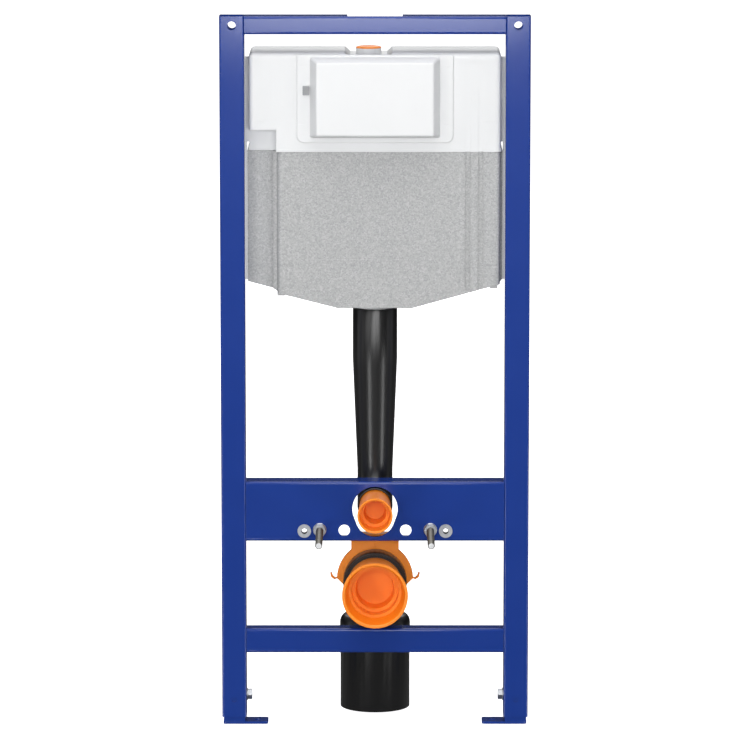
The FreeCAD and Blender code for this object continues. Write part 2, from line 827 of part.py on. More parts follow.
def tank_relief(body):
    """Flutes, seams, clip slots and the two bands in the front of the tank."""
    top = f"{TANK_TOP} - flute_top_drop"
    for start, low, count in (
        (f"-flute_left_edge - {FLUTES_LEFT - 1} * flute_pitch", "flute_low_rise", FLUTES_LEFT),
        ("flute_right_edge", "ledge_height + seam_depth", FLUTES_RIGHT),
    ):
        flute = new_sketch(body, "XZ_Plane", "-tank_front")
        left = f"{start} - flute_width / 2"
        rectangle(flute, left, f"{start} + flute_width / 2", f"{BORDER} + {low}", top)
        cut = pocket(body, flute, "flute_depth")
        repeated(body, cut, flute, count, "flute_pitch")
    seams = new_sketch(body, "XZ_Plane", "-tank_front")
    height = f"({BORDER} + seam_rise)"
    for low, high in (("-seam_outer", "-seam_inner"), ("seam_inner", "seam_outer")):
        rectangle(seams, low, high, height, f"{height} + seam_height")
    pocket(body, seams, "flute_depth + seam_depth")
    slots = new_sketch(body, "XZ_Plane", PAD_FACE)
    for drop in ("clip_upper_drop", "clip_lower_drop"):
        height = f"({TANK_TOP} - {drop})"
        for low, high in (("-clip_outer", "-clip_inner"), ("clip_inner", "clip_outer")):
            rectangle(slots, low, high, f"{height} - seam_height / 2", f"{height} + seam_height / 2")
    for side in (-1, 1):
        near = f"{side} * (box_half + latch_step)"
        far = f"{side} * (box_half + latch_step + slot_width)"
        low, high = (near, far) if side > 0 else (far, near)
        middle = f"({TANK_TOP} - latch_drop)"
        rectangle(slots, low, high, f"{middle} - slot_half", f"{middle} + slot_half")
    pocket(body, slots, "seam_depth")
    bands = new_sketch(body, "XZ_Plane", "ledge_rise - tank_front")
    for centre in ("band_inner", "band_outer"):
        low = f"{BORDER} - {OVERCUT}"
        rectangle(bands, f"{centre} - band_half", f"{centre} + band_half", low, top)
    pocket(body, bands, "ledge_rise + band_depth")


def cistern_tank():
    """Blow moulded tank: wide above the jacket, narrower inside it."""
    body = new_body("cistern_tank")
    tank_shell(body)
    tank_pad(body)
    tank_hollow(body)
    tank_lugs(body)
    tank_inlet(body)
    tank_relief(body)
    outlet = new_sketch(body, "XY_Plane", TANK_LOW)
    circle(outlet, "0", PIPE_AXIS, f"{COLLAR_RADIUS} - collar_wall")
    pocket(body, outlet, f"tank_wall + {OVERCUT}", ahead=True)
    return body


def jacket_shell(body):
    """Outside of the jacket: shoulders, rounded bulge, step rib and tabs."""
    top = f"({BORDER} - free_gap)"
    edge = f"({JACKET_HALF} - right_edge_inset)"
    low = JACKET_LOW
    floor = (("-floor_half", low), ("floor_half", low), (edge, f"{low} + right_rise"))
    rear = new_sketch(body, "XZ_Plane", "-tank_back")
    outline(
        rear,
        (
            (f"-{JACKET_HALF}", top),
            (f"-{JACKET_HALF}", f"{low} + left_rise"),
            ("-bulge_edge - rib_width", f"{low} + left_corner_rise"),
            ("-bulge_edge", f"{low} + bulge_rise"),
            *floor,
            (f"{JACKET_HALF} - right_corner_inset", f"{low} + right_corner_rise"),
            (JACKET_HALF, f"{low} + corner_rise"),
            (JACKET_HALF, top),
        ),
    )
    pad(body, rear, "tank_back - lug_front")
    bulge = new_sketch(body, "XZ_Plane", "-lug_front")
    right = f"({JACKET_HALF} - bulge_inset)"
    outline(
        bulge,
        (
            ("-bulge_edge", top),
            ("-bulge_edge", f"{low} + bulge_rise"),
            *floor,
            (right, f"{low} + bulge_corner_rise"),
            (right, top),
        ),
    )
    pad(body, bulge, "lug_front - tank_front")
    front = value("tank_front")
    rounded(
        body,
        "jacket_round",
        lambda line: runs_along(line, Vector(0, 0, 1)) and line.BoundBox.YMax < front + LOOSE,
    )
    shoulder = value(BORDER) - value("jacket_height") / 2
    rounded(
        body,
        "jacket_low_round",
        lambda line: line.BoundBox.YMax < front + LOOSE and line.BoundBox.ZMax < shoulder,
    )
    rib = new_sketch(body, "XZ_Plane", "-lug_front")
    rectangle(
        rib,
        "-bulge_edge - rib_width",
        f"-bulge_edge + {OVERCUT}",
        f"{low} + left_corner_rise",
        top,
    )
    pad(body, rib, "rib_reach")
    tabs = new_sketch(body, "XZ_Plane", "-tank_front - tab_depth")
    left_low = f"{low} + bulge_rise - tab_drop"
    rectangle(tabs, "-bulge_edge", "-bulge_edge + tab_width", left_low, f"{low} + bulge_rise")
    right_low = f"{low} + right_rise - tab_drop / 2"
    rectangle(tabs, edge, f"{edge} + tab_width", right_low, f"{low} + bulge_corner_rise")
    pad(body, tabs, "tab_depth - jacket_low_round")
    crease = new_sketch(body, "XZ_Plane", "-tank_front")
    height = f"({low} + crease_rise)"
    rectangle(crease, "-crease_half", "crease_half", height, f"{height} + crease_height")
    pad(body, crease, "crease_reach")


def cistern_jacket():
    """Foamed jacket around the tank's lower part, open at its top."""
    body = new_body("cistern_jacket")
    jacket_shell(body)
    deep = "(tank_back - jacket_wall + free_gap)"
    top = f"({BORDER} + {OVERCUT})"
    for shape, face in ((lower_outline, REAR_FACE), (bulge_outline, "(tank_front + jacket_wall)")):
        space = new_sketch(body, "XZ_Plane", f"-{deep}")
        outline(space, shape("-free_gap", top))
        pocket(body, space, f"{deep} - {face} + free_gap", ahead=True)
    outlet = new_sketch(body, "XY_Plane", JACKET_LOW)
    circle(outlet, "0", PIPE_AXIS, f"{COLLAR_RADIUS} + free_gap")
    pocket(body, outlet, f"jacket_floor + {OVERCUT}", ahead=True)
    grooves = new_sketch(body, "XZ_Plane", "-tank_front")
    for centre in ("band_inner", "band_outer"):
        rectangle(grooves, f"{centre} - band_half", f"{centre} + band_half", JACKET_LOW, top)
    pocket(body, grooves, "groove_depth")
    return body


def service_box():
    """Hollow tapered cover over the service opening, open towards the tank."""
    body = new_body("service_box")
    low = f"({BORDER} + box_low_rise)"
    high = f"({TANK_TOP} - box_drop)"
    bottom = new_sketch(body, "XZ_Plane", PAD_FACE)
    rectangle(bottom, "-box_half", "box_half", low, high)
    top = new_sketch(body, "XZ_Plane", f"{PAD_FACE} + box_reach")
    rectangle(
        top,
        "box_taper - box_half",
        "box_half - box_taper",
        f"{low} + box_taper_height",
        f"{high} - box_taper_height",
    )
    loft = body.newObject("PartDesign::AdditiveLoft", "Loft")
    loft.Profile = bottom
    loft.Sections = [top]
    document.recompute()
    base = value(f"-{PAD_FACE}")
    rounded(body, "box_round", lambda edge: edge.BoundBox.YMin < base - LOOSE)
    inner = new_sketch(body, "XZ_Plane", PAD_FACE)
    reach = "(box_half - box_taper - box_wall)"
    rectangle(
        inner,
        f"-{reach}",
        reach,
        f"{low} + box_taper_height + box_wall",
        f"{high} - box_taper_height - box_wall",
    )
    pocket(body, inner, "box_reach - box_wall", ahead=True)
    return body


def service_latch():
    """Small latch on the raised frame beside the cover."""
    body = new_body("service_latch")
    plate = new_sketch(body, "XZ_Plane", PAD_FACE)
    near = "-(box_half + latch_step)"
    middle = f"({TANK_TOP} - latch_drop)"
    rectangle(
        plate,
        f"{near} - latch_width",
        near,
        f"{middle} - latch_height / 2",
        f"{middle} + latch_height / 2",
    )
    pad(body, plate, "latch_reach")
    return body


def inlet_plug():
    """Hollow plug with a domed cap, pushed into the neck of the water inlet."""
    inner = "inlet_stem_radius - inlet_wall"
    dome = []
    for step in range(DOME_STEPS):
        angle = f"{RIGHT_ANGLE * step / DOME_STEPS} deg"
        height = f"{NECK_TOP} + inlet_flat + inlet_dome * sin({angle})"
        dome.append((f"neck_radius * cos({angle})", height))
    body = turned(
        "inlet_plug",
        (
            (inner, f"{NECK_TOP} - inlet_depth"),
            ("inlet_stem_radius", f"{NECK_TOP} - inlet_depth"),
            ("inlet_stem_radius", NECK_TOP),
            ("neck_radius", NECK_TOP),
            *dome,
            ("0", f"{NECK_TOP} + inlet_flat + inlet_dome"),
            ("0", NECK_TOP),
            (inner, NECK_TOP),
        ),
        role="XZ_Plane",
        axis="V_Axis",
    )
    return placed(body, x="notch_offset", y=PIPE_AXIS)


def outlet_collar():
    """Spigot under the tank that the flush pipe is pushed on to."""
    body = turned(
        "outlet_collar",
        (
            (f"{COLLAR_RADIUS} - collar_wall", f"{PIPE_TOP} - collar_insert"),
            (COLLAR_RADIUS, f"{PIPE_TOP} - collar_insert"),
            (COLLAR_RADIUS, TANK_LOW),
            (f"{COLLAR_RADIUS} - collar_wall", TANK_LOW),
        ),
        role="XZ_Plane",
        axis="V_Axis",
    )
    return placed(body, y=PIPE_AXIS)


def swept_bend(body, turn, height, bend, reach, radii):
    """Quarter bend from a vertical part, above or below, to the front."""
    path = new_sketch(body, "YZ_Plane")
    joint = f"({height} + {turn} * {bend})"
    centre = Vector(-value(bend), value(joint), 0)
    corner = Vector(-value(bend), value(height), 0)
    front = Vector(-value(reach), value(height), 0)
    ring = Part.Circle(centre, Vector(0, 0, 1), value(bend))
    quarter = math.radians(RIGHT_ANGLE)
    low, high = (-quarter, 0.0) if turn > 0 else (0.0, quarter)
    arc = path.addGeometry(Part.ArcOfCircle(ring, low, high), False)
    line = path.addGeometry(Part.LineSegment(corner, front), False)
    at_corner, at_start = ("start", "end") if turn > 0 else ("end", "start")
    meeting = (arc, POINT[at_corner], line, POINT["start"])
    path.addConstraint(Sketcher.Constraint("Tangent", *meeting))
    bind(path, "DistanceX", arc, "centre", f"-{bend}")
    bind(path, "DistanceY", arc, "centre", joint)
    bind(path, "DistanceX", arc, at_start, "0")
    bind(path, "DistanceY", arc, at_start, joint)
    bind(path, "DistanceX", line, "end", f"-({reach})")
    bind(path, "DistanceY", line, "end", height)
    section = new_sketch(body, "XY_Plane", joint)
    for radius in radii:
        circle(section, "0", "0", radius)
    document.recompute()
    sweep = body.newObject("PartDesign::AdditivePipe", "Bend")
    sweep.Profile = section
    sweep.Spine = (path, ["Edge1", "Edge2"])
    document.recompute()
    return sweep


def flush_pipe():
    """Pipe from the tank: wide top, long taper, then a bend to the front."""
    joint = f"{FLUSH_HEIGHT} + pipe_bend"
    narrow = f"{FLUSH_HEIGHT} + pipe_taper_rise"
    wide = f"{PIPE_TOP} - pipe_top_length"
    body = turned(
        "flush_pipe",
        (
            ("pipe_top_radius - pipe_wall", PIPE_TOP),
            ("pipe_top_radius", PIPE_TOP),
            ("pipe_top_radius", wide),
            ("pipe_radius", narrow),
            ("pipe_radius", joint),
            (PIPE_BORE, joint),
            (PIPE_BORE, narrow),
            ("pipe_top_radius - pipe_wall", wide),
        ),
        role="XZ_Plane",
        axis="V_Axis",
    )
    reach = f"{PIPE_AXIS} + pipe_outlet_reach"
    swept_bend(body, 1, FLUSH_HEIGHT, "pipe_bend", reach, ("pipe_radius", PIPE_BORE))
    return placed(body, y=PIPE_AXIS)


def flush_plug():
    """Cup shaped plug that closes the flush pipe during building work."""
    end = "-pipe_outlet_reach"
    fit = f"({PIPE_BORE} - free_gap)"
    root = "(pipe_radius - flush_plug_inset)"
    rim = f"({root} + flush_plug_flare)"
    inner = f"({root} - plug_wall)"
    shelf = f"({inner} - flush_plug_shelf)"
    floor = f"({root} - flush_plug_floor)"
    ledge = f"{PLUG_MOUTH} + flush_plug_step"
    bottom = f"{PLUG_MOUTH} + flush_plug_depth"
    body = turned(
        "flush_plug",
        (
            (PLUG_MOUTH, rim),
            (f"{end} + plug_lead", root),
            (f"{end} + 2 * plug_lead", fit),
            (f"{end} + flush_plug_insert", fit),
            (f"{end} + flush_plug_insert", inner),
            (f"{ledge} + plug_wall", inner),
            (f"{ledge} + plug_wall", f"{shelf} + plug_wall"),
            (f"{bottom} + plug_wall", f"{floor} + plug_wall"),
            (f"{bottom} + plug_wall", "0"),
            (bottom, "0"),
            (bottom, floor),
            (ledge, shelf),
            (ledge, f"{inner} + plug_wall / 2"),
            (PLUG_MOUTH, f"{rim} - plug_wall"),
        ),
    )
    return placed(body, z=FLUSH_HEIGHT)


def drain_elbow():
    """Outlet elbow: socket to the front, bend, wide spigot down to the drain."""
    joint = f"{DRAIN_HEIGHT} - drain_bend"
    stop = f"({LOW_RAIL} - stop_drop)"
    low = f"({DRAIN_SHOULDER} - shoulder_round)"
    shoulder = []
    inside = []
    for step in range(DOME_STEPS + 1):
        angle = f"{RIGHT_ANGLE * step / DOME_STEPS} deg"
        height = f"{low} + shoulder_round * sin({angle})"
        across = f"({DRAIN_UPPER} - {DRAIN_TUBE}) * (1 - cos({angle}))"
        shoulder.append((f"{DRAIN_UPPER} - {across}", height))
        inside.append((f"{DRAIN_UPPER} - drain_wall - {across}", f"{height} - drain_wall / 2"))
    body = turned(
        "drain_elbow",
        (
            (f"{DRAIN_TUBE} - drain_wall", joint),
            (DRAIN_TUBE, joint),
            *reversed(shoulder),
            (DRAIN_UPPER, f"{stop} + stop_width"),
            ("drain_radius + stop_reach", f"{stop} + stop_width"),
            ("drain_radius + stop_reach", stop),
            ("drain_radius", stop),
            ("drain_radius", "drain_bottom"),
            ("drain_radius - drain_wall", "drain_bottom"),
            *inside,
        ),
        role="XZ_Plane",
        axis="V_Axis",
    )
    mouth = f"({DRAIN_AXIS} + post_width / 2)"
    floor = f"({mouth} - socket_depth)"
    bore = f"({DRAIN_TUBE} - drain_wall)"
    reach = f"{floor} + drain_wall / 2"
    swept_bend(body, -1, DRAIN_HEIGHT, "drain_bend", reach, (DRAIN_TUBE, bore))
    bottom = new_sketch(body, "XZ_Plane", floor)
    circle(bottom, "0", DRAIN_HEIGHT, "socket_radius")
    circle(bottom, "0", DRAIN_HEIGHT, bore)
    pad(body, bottom, "drain_wall")
    socket = new_sketch(body, "XZ_Plane", f"{floor} + drain_wall")
    circle(socket, "0", DRAIN_HEIGHT, "socket_radius")
    circle(socket, "0", DRAIN_HEIGHT, SOCKET_BORE)
    pad(body, socket, "socket_depth - drain_wall")
    return placed(body, y=DRAIN_AXIS)


def drain_seal():
    """Lip seal in the mouth of the drain socket."""
    face = "-post_width / 2"
    outer = f"{SOCKET_BORE} - free_gap"
    inner = f"{SOCKET_BORE} - seal_width"
    body = turned(
        "drain_seal",
        (
            (face, inner),
            (f"{face} + seal_depth", inner),
            (f"{face} + seal_depth", outer),
            (face, outer),
        ),
    )
    return placed(body, z=DRAIN_HEIGHT)


def drain_plug():
    """Large stepped plug that closes the drain socket."""
    end = "-post_width / 2"
    rim = f"({DRAIN_ROOT} + drain_plug_flare)"
    tail = f"({DRAIN_ROOT} - plug_lead / 2)"
    ledge = f"{PLUG_MOUTH} + drain_ledge_depth"
    shelf = f"{PLUG_MOUTH} + drain_shelf_depth"
    bottom = f"{PLUG_MOUTH} + drain_floor_depth"
    wide = f"({DRAIN_ROOT} - drain_shelf_inset)"
    floor = f"({DRAIN_ROOT} - drain_floor_inset)"
    body = turned(
        "drain_plug",
        (
            (PLUG_MOUTH, rim),
            (end, DRAIN_ROOT),
            (f"{end} + drain_plug_insert", tail),
            (f"{end} + drain_plug_insert", f"{tail} - plug_wall"),
            (f"{ledge} + plug_wall", f"{DRAIN_ROOT} + plug_wall / 2"),
            (f"{shelf} + plug_wall", f"{wide} + plug_wall"),
            (f"{shelf} + plug_wall", f"{floor} + cup_draft + plug_wall"),
            (f"{bottom} + plug_wall", f"{floor} + plug_wall"),
            (f"{bottom} + plug_wall", "0"),
            (bottom, "0"),
            (bottom, floor),
            (shelf, f"{floor} + cup_draft"),
            (shelf, wide),
            (ledge, f"{wide} + plug_lead / 2"),
            (ledge, f"{DRAIN_ROOT} - drain_ledge_inset"),
            (PLUG_MOUTH, f"{rim} - plug_wall"),
        ),
    )
    return placed(body, z=DRAIN_HEIGHT)


def clamp_hooks(body, plane):
    """Thin release hooks that curl up beside the ends of the clamp."""
    root = f"({YOKE_RADIUS} - hook_wall)"
    strip = (
        (root, "hook_bend"),
        (f"{YOKE_RADIUS} + hook_first - hook_wall / 2", "0"),
        (f"{YOKE_RADIUS} + hook_second - hook_wall / 4", "hook_bend + hook_dip"),
        (f"{YOKE_RADIUS} + hook_reach - hook_wall", "hook_rise + hook_wall / 2"),
        (f"{YOKE_RADIUS} + hook_reach - 2 * hook_wall", "hook_rise + hook_wall"),
        (f"{YOKE_RADIUS} + hook_second - 3 * hook_wall / 2", "2 * hook_bend + hook_dip"),
        (f"{YOKE_RADIUS} + hook_first - hook_wall", "hook_wall"),
        (root, "2 * hook_bend"),
    )
    sketch = new_sketch(body, "XZ_Plane", plane)
    outline(sketch, tuple((x, f"{DRAIN_HEIGHT} + {z}") for x, z in strip))
    mirrored(body, [pad(body, sketch, "yoke_depth")])


def drain_clamp():
    """Snap clamp that hangs on the mounting plate and grips the elbow behind its socket."""
    body = new_body("drain_clamp")
    face = "-(post_width / 2 + free_gap)"
    plane = f"{face} - yoke_depth"
    top = "(plate_bottom + sheet_wall + free_gap + tongue_height)"
    ring = new_sketch(body, "XZ_Plane", plane)
    circle(ring, "0", DRAIN_HEIGHT, YOKE_RADIUS)
    pad(body, ring, "yoke_depth")
    flare = f"({DRAIN_HEIGHT} + yoke_flare_rise)"
    wide = "(yoke_neck_half + yoke_flare)"
    neck = new_sketch(body, "XZ_Plane", plane)
    outline(
        neck,
        (
            (f"-{wide}", DRAIN_HEIGHT),
            (wide, DRAIN_HEIGHT),
            (wide, f"{flare} - yoke_flare"),
            ("yoke_neck_half", flare),
            ("yoke_neck_half", top),
            ("-yoke_neck_half", top),
            ("-yoke_neck_half", flare),
            (f"-{wide}", f"{flare} - yoke_flare"),
        ),
    )
    pad(body, neck, "yoke_depth")
    tongue = new_sketch(body, "XZ_Plane", plane)
    low = f"{top} - tongue_height"
    rectangle(tongue, "-yoke_neck_half", "yoke_neck_half", low, top)
    pad(body, tongue, "yoke_depth + tongue_reach")
    grip = new_sketch(body, "XZ_Plane", face)
    circle(grip, "0", DRAIN_HEIGHT, GRIP_RADIUS)
    pocket(body, grip, f"yoke_depth + {OVERCUT}")
    mouth = new_sketch(body, "XZ_Plane", face)
    side = f"({YOKE_RADIUS} + yoke_lead)"
    low = f"{DRAIN_HEIGHT} - yoke_mouth"
    inner = f"({GRIP_RADIUS} + free_gap)"
    outline(
        mouth,
        (
            (f"-{side}", f"{DRAIN_HEIGHT} - {side}"),
            (side, f"{DRAIN_HEIGHT} - {side}"),
            (side, f"{low} + {side} - {inner}"),
            (inner, low),
            (f"-{inner}", low),
            (f"-{side}", f"{low} + {side} - {inner}"),
        ),
    )
    pocket(body, mouth, f"yoke_depth + {OVERCUT}")
    clamp_hooks(body, plane)
    rib = new_sketch(body, "XZ_Plane", f"{plane} + yoke_depth")
    foot_of_rib = f"{DRAIN_HEIGHT} + socket_radius + 2 * yoke_rib_half"
    rectangle(rib, "-yoke_rib_half", "yoke_rib_half", foot_of_rib, "plate_bottom - free_gap")
    pad(body, rib, "yoke_rib_reach")
    return body


def build():
    """Every piece in the order it is fitted."""
    fill_sheet()
    pieces = []
    for name, side in (("left", -1), ("right", 1)):
        pieces.append(post(f"{name}_post", side))
        pieces.append(foot(f"{name}_foot", side))
        pieces.append(foot_bolt(f"{name}_foot_bolt", side))
        pieces.append(stud(f"{name}_stud", side))
        pieces.append(flange_nut(f"{name}_stud_nut", side))
        pieces.append(flange_nut(f"{name}_stud_back_nut", side, behind=True))
        pieces.append(bush(f"{name}_bush", side))
    pieces.append(top_rail())
    pieces.append(mounting_plate())
    pieces.append(channel("bottom_rail", LOW_RAIL, "low_rail_height", "low_rail_depth"))
    pieces.append(cistern_tank())
    pieces.append(cistern_jacket())
    pieces.append(service_box())
    pieces.append(service_latch())
    pieces.append(inlet_plug())
    pieces.append(outlet_collar())
    pieces.append(flush_pipe())
    pieces.append(flush_plug())
    pieces.append(drain_elbow())
    pieces.append(drain_seal())
    pieces.append(drain_plug())
    pieces.append(drain_clamp())
    return pieces


def write(pieces):
    """Checks every object, then writes the pieces."""
    document.recompute()
    for item in document.Objects:
        if "Invalid" in item.State or "Error" in item.State:
            raise ValueError(f"{item.Label}: {item.State}")
    os.makedirs("parts", exist_ok=True)
    for piece in pieces:
        shape = piece.Shape
        if shape.isNull() or not shape.isValid() or len(shape.Solids) != 1:
            raise ValueError(f"{piece.Label}: no single valid solid")
        shape.exportStep(f"parts/{piece.Label}.step")
        box = shape.BoundBox
        print(
            f"{piece.Label:24s} {shape.Volume / 1000:9.1f} cm3"
            f"  x {box.XMin:7.1f} {box.XMax:7.1f}"
            f"  y {box.YMin:7.1f} {box.YMax:7.1f}"
            f"  z {box.ZMin:7.1f} {box.ZMax:7.1f}"
        )


write(build())
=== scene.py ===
# %% [markdown]
# # A wall hung toilet frame, dressed in Blender
# The real object is a welded steel frame that stands in a stud wall and carries the pan.
# It holds a white plastic cistern in a grey foam jacket, a black flush pipe and drain elbow,
# and orange plugs that keep dirt out until the bathroom is finished.
# The CAD model already gives every size and place. This lesson adds the finishes and the
# small things that a solid model leaves plain: screw threads, beads of weld, ribs and grain.

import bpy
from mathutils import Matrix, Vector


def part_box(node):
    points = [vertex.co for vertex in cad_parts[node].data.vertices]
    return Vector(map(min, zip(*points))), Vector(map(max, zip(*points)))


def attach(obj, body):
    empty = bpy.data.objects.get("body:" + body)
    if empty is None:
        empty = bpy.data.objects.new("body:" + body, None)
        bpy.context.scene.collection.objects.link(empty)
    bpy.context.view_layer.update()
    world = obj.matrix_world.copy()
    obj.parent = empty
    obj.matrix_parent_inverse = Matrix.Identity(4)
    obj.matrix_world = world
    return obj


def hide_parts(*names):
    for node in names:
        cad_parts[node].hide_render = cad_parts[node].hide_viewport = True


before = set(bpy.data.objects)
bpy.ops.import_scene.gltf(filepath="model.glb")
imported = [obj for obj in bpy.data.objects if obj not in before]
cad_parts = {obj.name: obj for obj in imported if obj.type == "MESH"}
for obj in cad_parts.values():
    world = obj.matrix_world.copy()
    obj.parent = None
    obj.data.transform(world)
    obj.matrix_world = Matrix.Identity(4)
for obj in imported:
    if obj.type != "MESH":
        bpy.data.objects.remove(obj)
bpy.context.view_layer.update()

# %% [markdown]
# Everything below is measured in metres, but a fitter thinks in millimetres.
# One constant turns one into the other, and every size is written as a fitter would say it.

# %% Units and modules
import math

import bmesh
import bpy
from mathutils import Vector

MM = 0.001
TURN = 2 * math.pi


def middle(name):
    """Centre of a CAD node's box."""
    low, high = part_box(name)
    return (Vector(low) + Vector(high)) / 2


print("studs stand", round((middle("right_stud") - middle("left_stud")).x / MM), "mm apart")

# %% [markdown]
# ## Colours
# Paint charts and photographs give colours as sRGB hex values, but a shader mixes light,
# so it needs linear values. One function does the change, by the two parts of the sRGB
# curve, so that every colour in the lesson can be written the way a paint chart writes it.


# %% Colour from a chart
def linear(code):
    """Linear RGBA from an sRGB hex code."""
    channels = [int(code[i : i + 2], 16) / 255 for i in (1, 3, 5)]
    return [c / 12.92 if c <= 0.04045 else ((c + 0.055) / 1.055) ** 2.4 for c in channels] + [1.0]


print("blue of the coat, linear:", [round(c, 3) for c in linear("#193888")])

# %% [markdown]
# ## Building materials from nodes
# A material is a small circuit. Instead of a helper for each kind of node, one function
# adds any node: settings are set on the node itself, and the inputs take either a plain
# value or the output of an earlier node, which makes a link.


# %% One function for every node
def put(tree, kind, inputs=None, **settings):
    """Adds a node. An input given a socket is linked, any other value is set."""
    node = tree.nodes.new(kind)
    for key, setting in settings.items():
        setattr(node, key, setting)
    for key, value in (inputs or {}).items():
        if isinstance(value, bpy.types.NodeSocket):
            tree.links.new(value, node.inputs[key])
        else:
            node.inputs[key].default_value = value
    return node


def blank(name):
    """An empty material with its node tree, and the object's own coordinates in metres."""
    material = bpy.data.materials.new(name)
    material.use_nodes = True
    tree = material.node_tree
    tree.nodes.clear()
    place = put(tree, "ShaderNodeTexCoord").outputs["Object"]
    return material, tree, place


def shade(tree, inputs):
    """The surface itself, joined to the material's output."""
    surface = put(tree, "ShaderNodeBsdfPrincipled", inputs)
    put(tree, "ShaderNodeOutputMaterial", {"Surface": surface.outputs["BSDF"]})


# %% [markdown]
# Most finishes take the same four steps: soft random clouds, a colour that drifts between
# two shades, a number that drifts between two values, and a very shallow relief. Each step
# is a short function here, so that a finish reads like a recipe, its sizes in millimetres.


# %% Steps that the finishes share
def per_mm(size):
    """Texture scale for a pattern that repeats every so many millimetres."""
    return 1 / (size * MM)


def clouds(tree, place, size_mm, detail=2.0):
    """Soft noise, from 0 to 1."""
    inputs = {"Vector": place, "Scale": per_mm(size_mm), "Detail": detail}
    return put(tree, "ShaderNodeTexNoise", inputs).outputs["Fac"]


def tint(tree, share, first, second):
    """A colour between two hex codes."""
    inputs = {"Factor": share, "A": linear(first), "B": linear(second)}
    return put(tree, "ShaderNodeMix", inputs, data_type="RGBA").outputs["Result"]


def drift(tree, share, low, high):
    """A number between two values."""
    inputs = {"Value": share, "To Min": low, "To Max": high}
    return put(tree, "ShaderNodeMapRange", inputs).outputs["Result"]


def relief(tree, height, strength, depth_mm):
    """A shallow bump."""
    inputs = {"Height": height, "Strength": strength, "Distance": depth_mm * MM}
    return put(tree, "ShaderNodeBump", inputs).outputs["Normal"]


# %% [markdown]
# ## Powder coated steel
# The tubes and folded rails are mild steel with a baked polyester powder coat in deep blue.
# Powder flows as it melts, but never quite level: a faint orange peel of about 2 mm breaks
# up the reflections. The eye reads it as satin paint on metal, so it could be a metal under
# a clear layer, but a plain dielectric with the peel as a shallow bump says the same for
# less, since nobody sees the steel through the paint.


# %% Material: powder coated steel
def powder_coat():
    """Blue paint with a slight orange peel."""
    material, tree, place = blank("powder_coated_steel")
    peel = clouds(tree, place, size_mm=2.2)
    patch = clouds(tree, place, size_mm=90, detail=1.0)
    shade(
        tree,
        {
            "Base Color": tint(tree, patch, "#153483", "#193888"),
            "Roughness": drift(tree, patch, low=0.15, high=0.19),
            "IOR": 1.5,
            "Normal": relief(tree, peel, strength=0.10, depth_mm=0.2),
        },
    )
    return material


BLUE_STEEL = powder_coat()
print("made", BLUE_STEEL.name)

# %% [markdown]
# ## Zinc plated steel
# Studs, nuts, bushes and foot bolts are bright zinc plated. Zinc is a thin, slightly milky
# metal coat: it mirrors its surroundings softly, with pale blotches a few millimetres wide
# where the bath was stronger. The stud threads hold oil and look darker, sawn ends are matt and
# pale. The threads in the bushes are darker again: that is painted shade for the depth of the
# hole.
# One recipe with other values serves all four, so that they still look like one metal.

# %% Material: zinc plated steel
ZINC_BLOOM_MM = 5
ZINC_DRIFT = (-0.06, 0.08)  # of the roughness, over the blotches


def zinc_plate(name, light, dark, rough):
    """Metal with soft blotches between two hex codes."""
    material, tree, place = blank(name)
    bloom = clouds(tree, place, size_mm=ZINC_BLOOM_MM, detail=3.0)
    shade(
        tree,
        {
            "Base Color": tint(tree, bloom, dark, light),
            "Metallic": 1.0,
            "Roughness": drift(tree, bloom, rough + ZINC_DRIFT[0], rough + ZINC_DRIFT[1]),
        },
    )
    print("made", name)
    return material


ZINC = zinc_plate("zinc_plated_steel", "#C9CCD0", "#A7AAAF", rough=0.38)
ZINC_THREAD = zinc_plate("zinc_plated_thread", "#86847F", "#5F5C57", rough=0.40)
SAWN_END = zinc_plate("sawn_zinc_end", "#E6E7E8", "#CBCCCE", rough=0.58)
# The dark grey of the bushes' threads is painted shade: it stands in for the shade inside the
# tapped hole.
BORE_PAINTED_SHADE = zinc_plate("bore_thread_painted_shade", "#4B4A48", "#2E2D2C", rough=0.45)

# %% [markdown]
# ## Moulded polyethylene
# The tank, the pipe and the elbow are polyethylene, blow moulded or injection moulded.
# Its skin is waxy: soft, broad highlights and a whisper of mould texture. White walls let
# light in, which spreads for about 8 mm before it comes out again. Without that glow the
# tank would look like painted card, so the recipe has a share for it, zero when black.

# %% Material: polyethylene
GLOW_REACH = 8 * MM
MOULDED_DRIFT = (-0.05, 0.07)  # of the roughness, over the grain


def moulded(name, light, dark, rough, grain_mm, grain, glow=0.0):
    """A moulded plastic or rubber: clouded colour, fine grain, light that enters."""
    material, tree, place = blank(name)
    cloud = clouds(tree, place, size_mm=60)
    texture = clouds(tree, place, size_mm=grain_mm, detail=3.0)
    shade(
        tree,
        {
            "Base Color": tint(tree, cloud, dark, light),
            "Roughness": drift(tree, texture, rough + MOULDED_DRIFT[0], rough + MOULDED_DRIFT[1]),
            "IOR": 1.51,
            "Subsurface Weight": glow,
            "Subsurface Radius": (GLOW_REACH, GLOW_REACH, GLOW_REACH),
            "Normal": relief(tree, texture, strength=grain, depth_mm=0.15),
        },
    )
    print("made", name)
    return material


WHITE_TANK = moulded(
    "white_blow_moulded_polyethylene",
    "#DCDDDE",
    "#D9DADB",
    rough=0.42,
    grain_mm=1.4,
    grain=0.12,
    glow=0.60,
)
BLACK_PIPE = moulded(
    "black_polyethylene", "#121213", "#0F0F10", rough=0.30, grain_mm=1.0, grain=0.15
)
GREY_CLIP = moulded(
    "grey_polyethylene", "#9A9C9E", "#8E9092", rough=0.45, grain_mm=1.0, grain=0.10
)

# %% [markdown]
# ## Orange polypropylene
# Plugs and clamp are injection moulded polypropylene in signal orange, with a fine spark
# eroded texture. It behaves like the polyethylene above, so it uses the same recipe with a
# finer grain. A trace of light enters and keeps its shaded sides warm.

# %% Material: polypropylene
ORANGE = moulded(
    "orange_polypropylene",
    "#F88C18",
    "#F48614",
    rough=0.38,
    grain_mm=0.8,
    grain=0.12,
    glow=0.03,
)

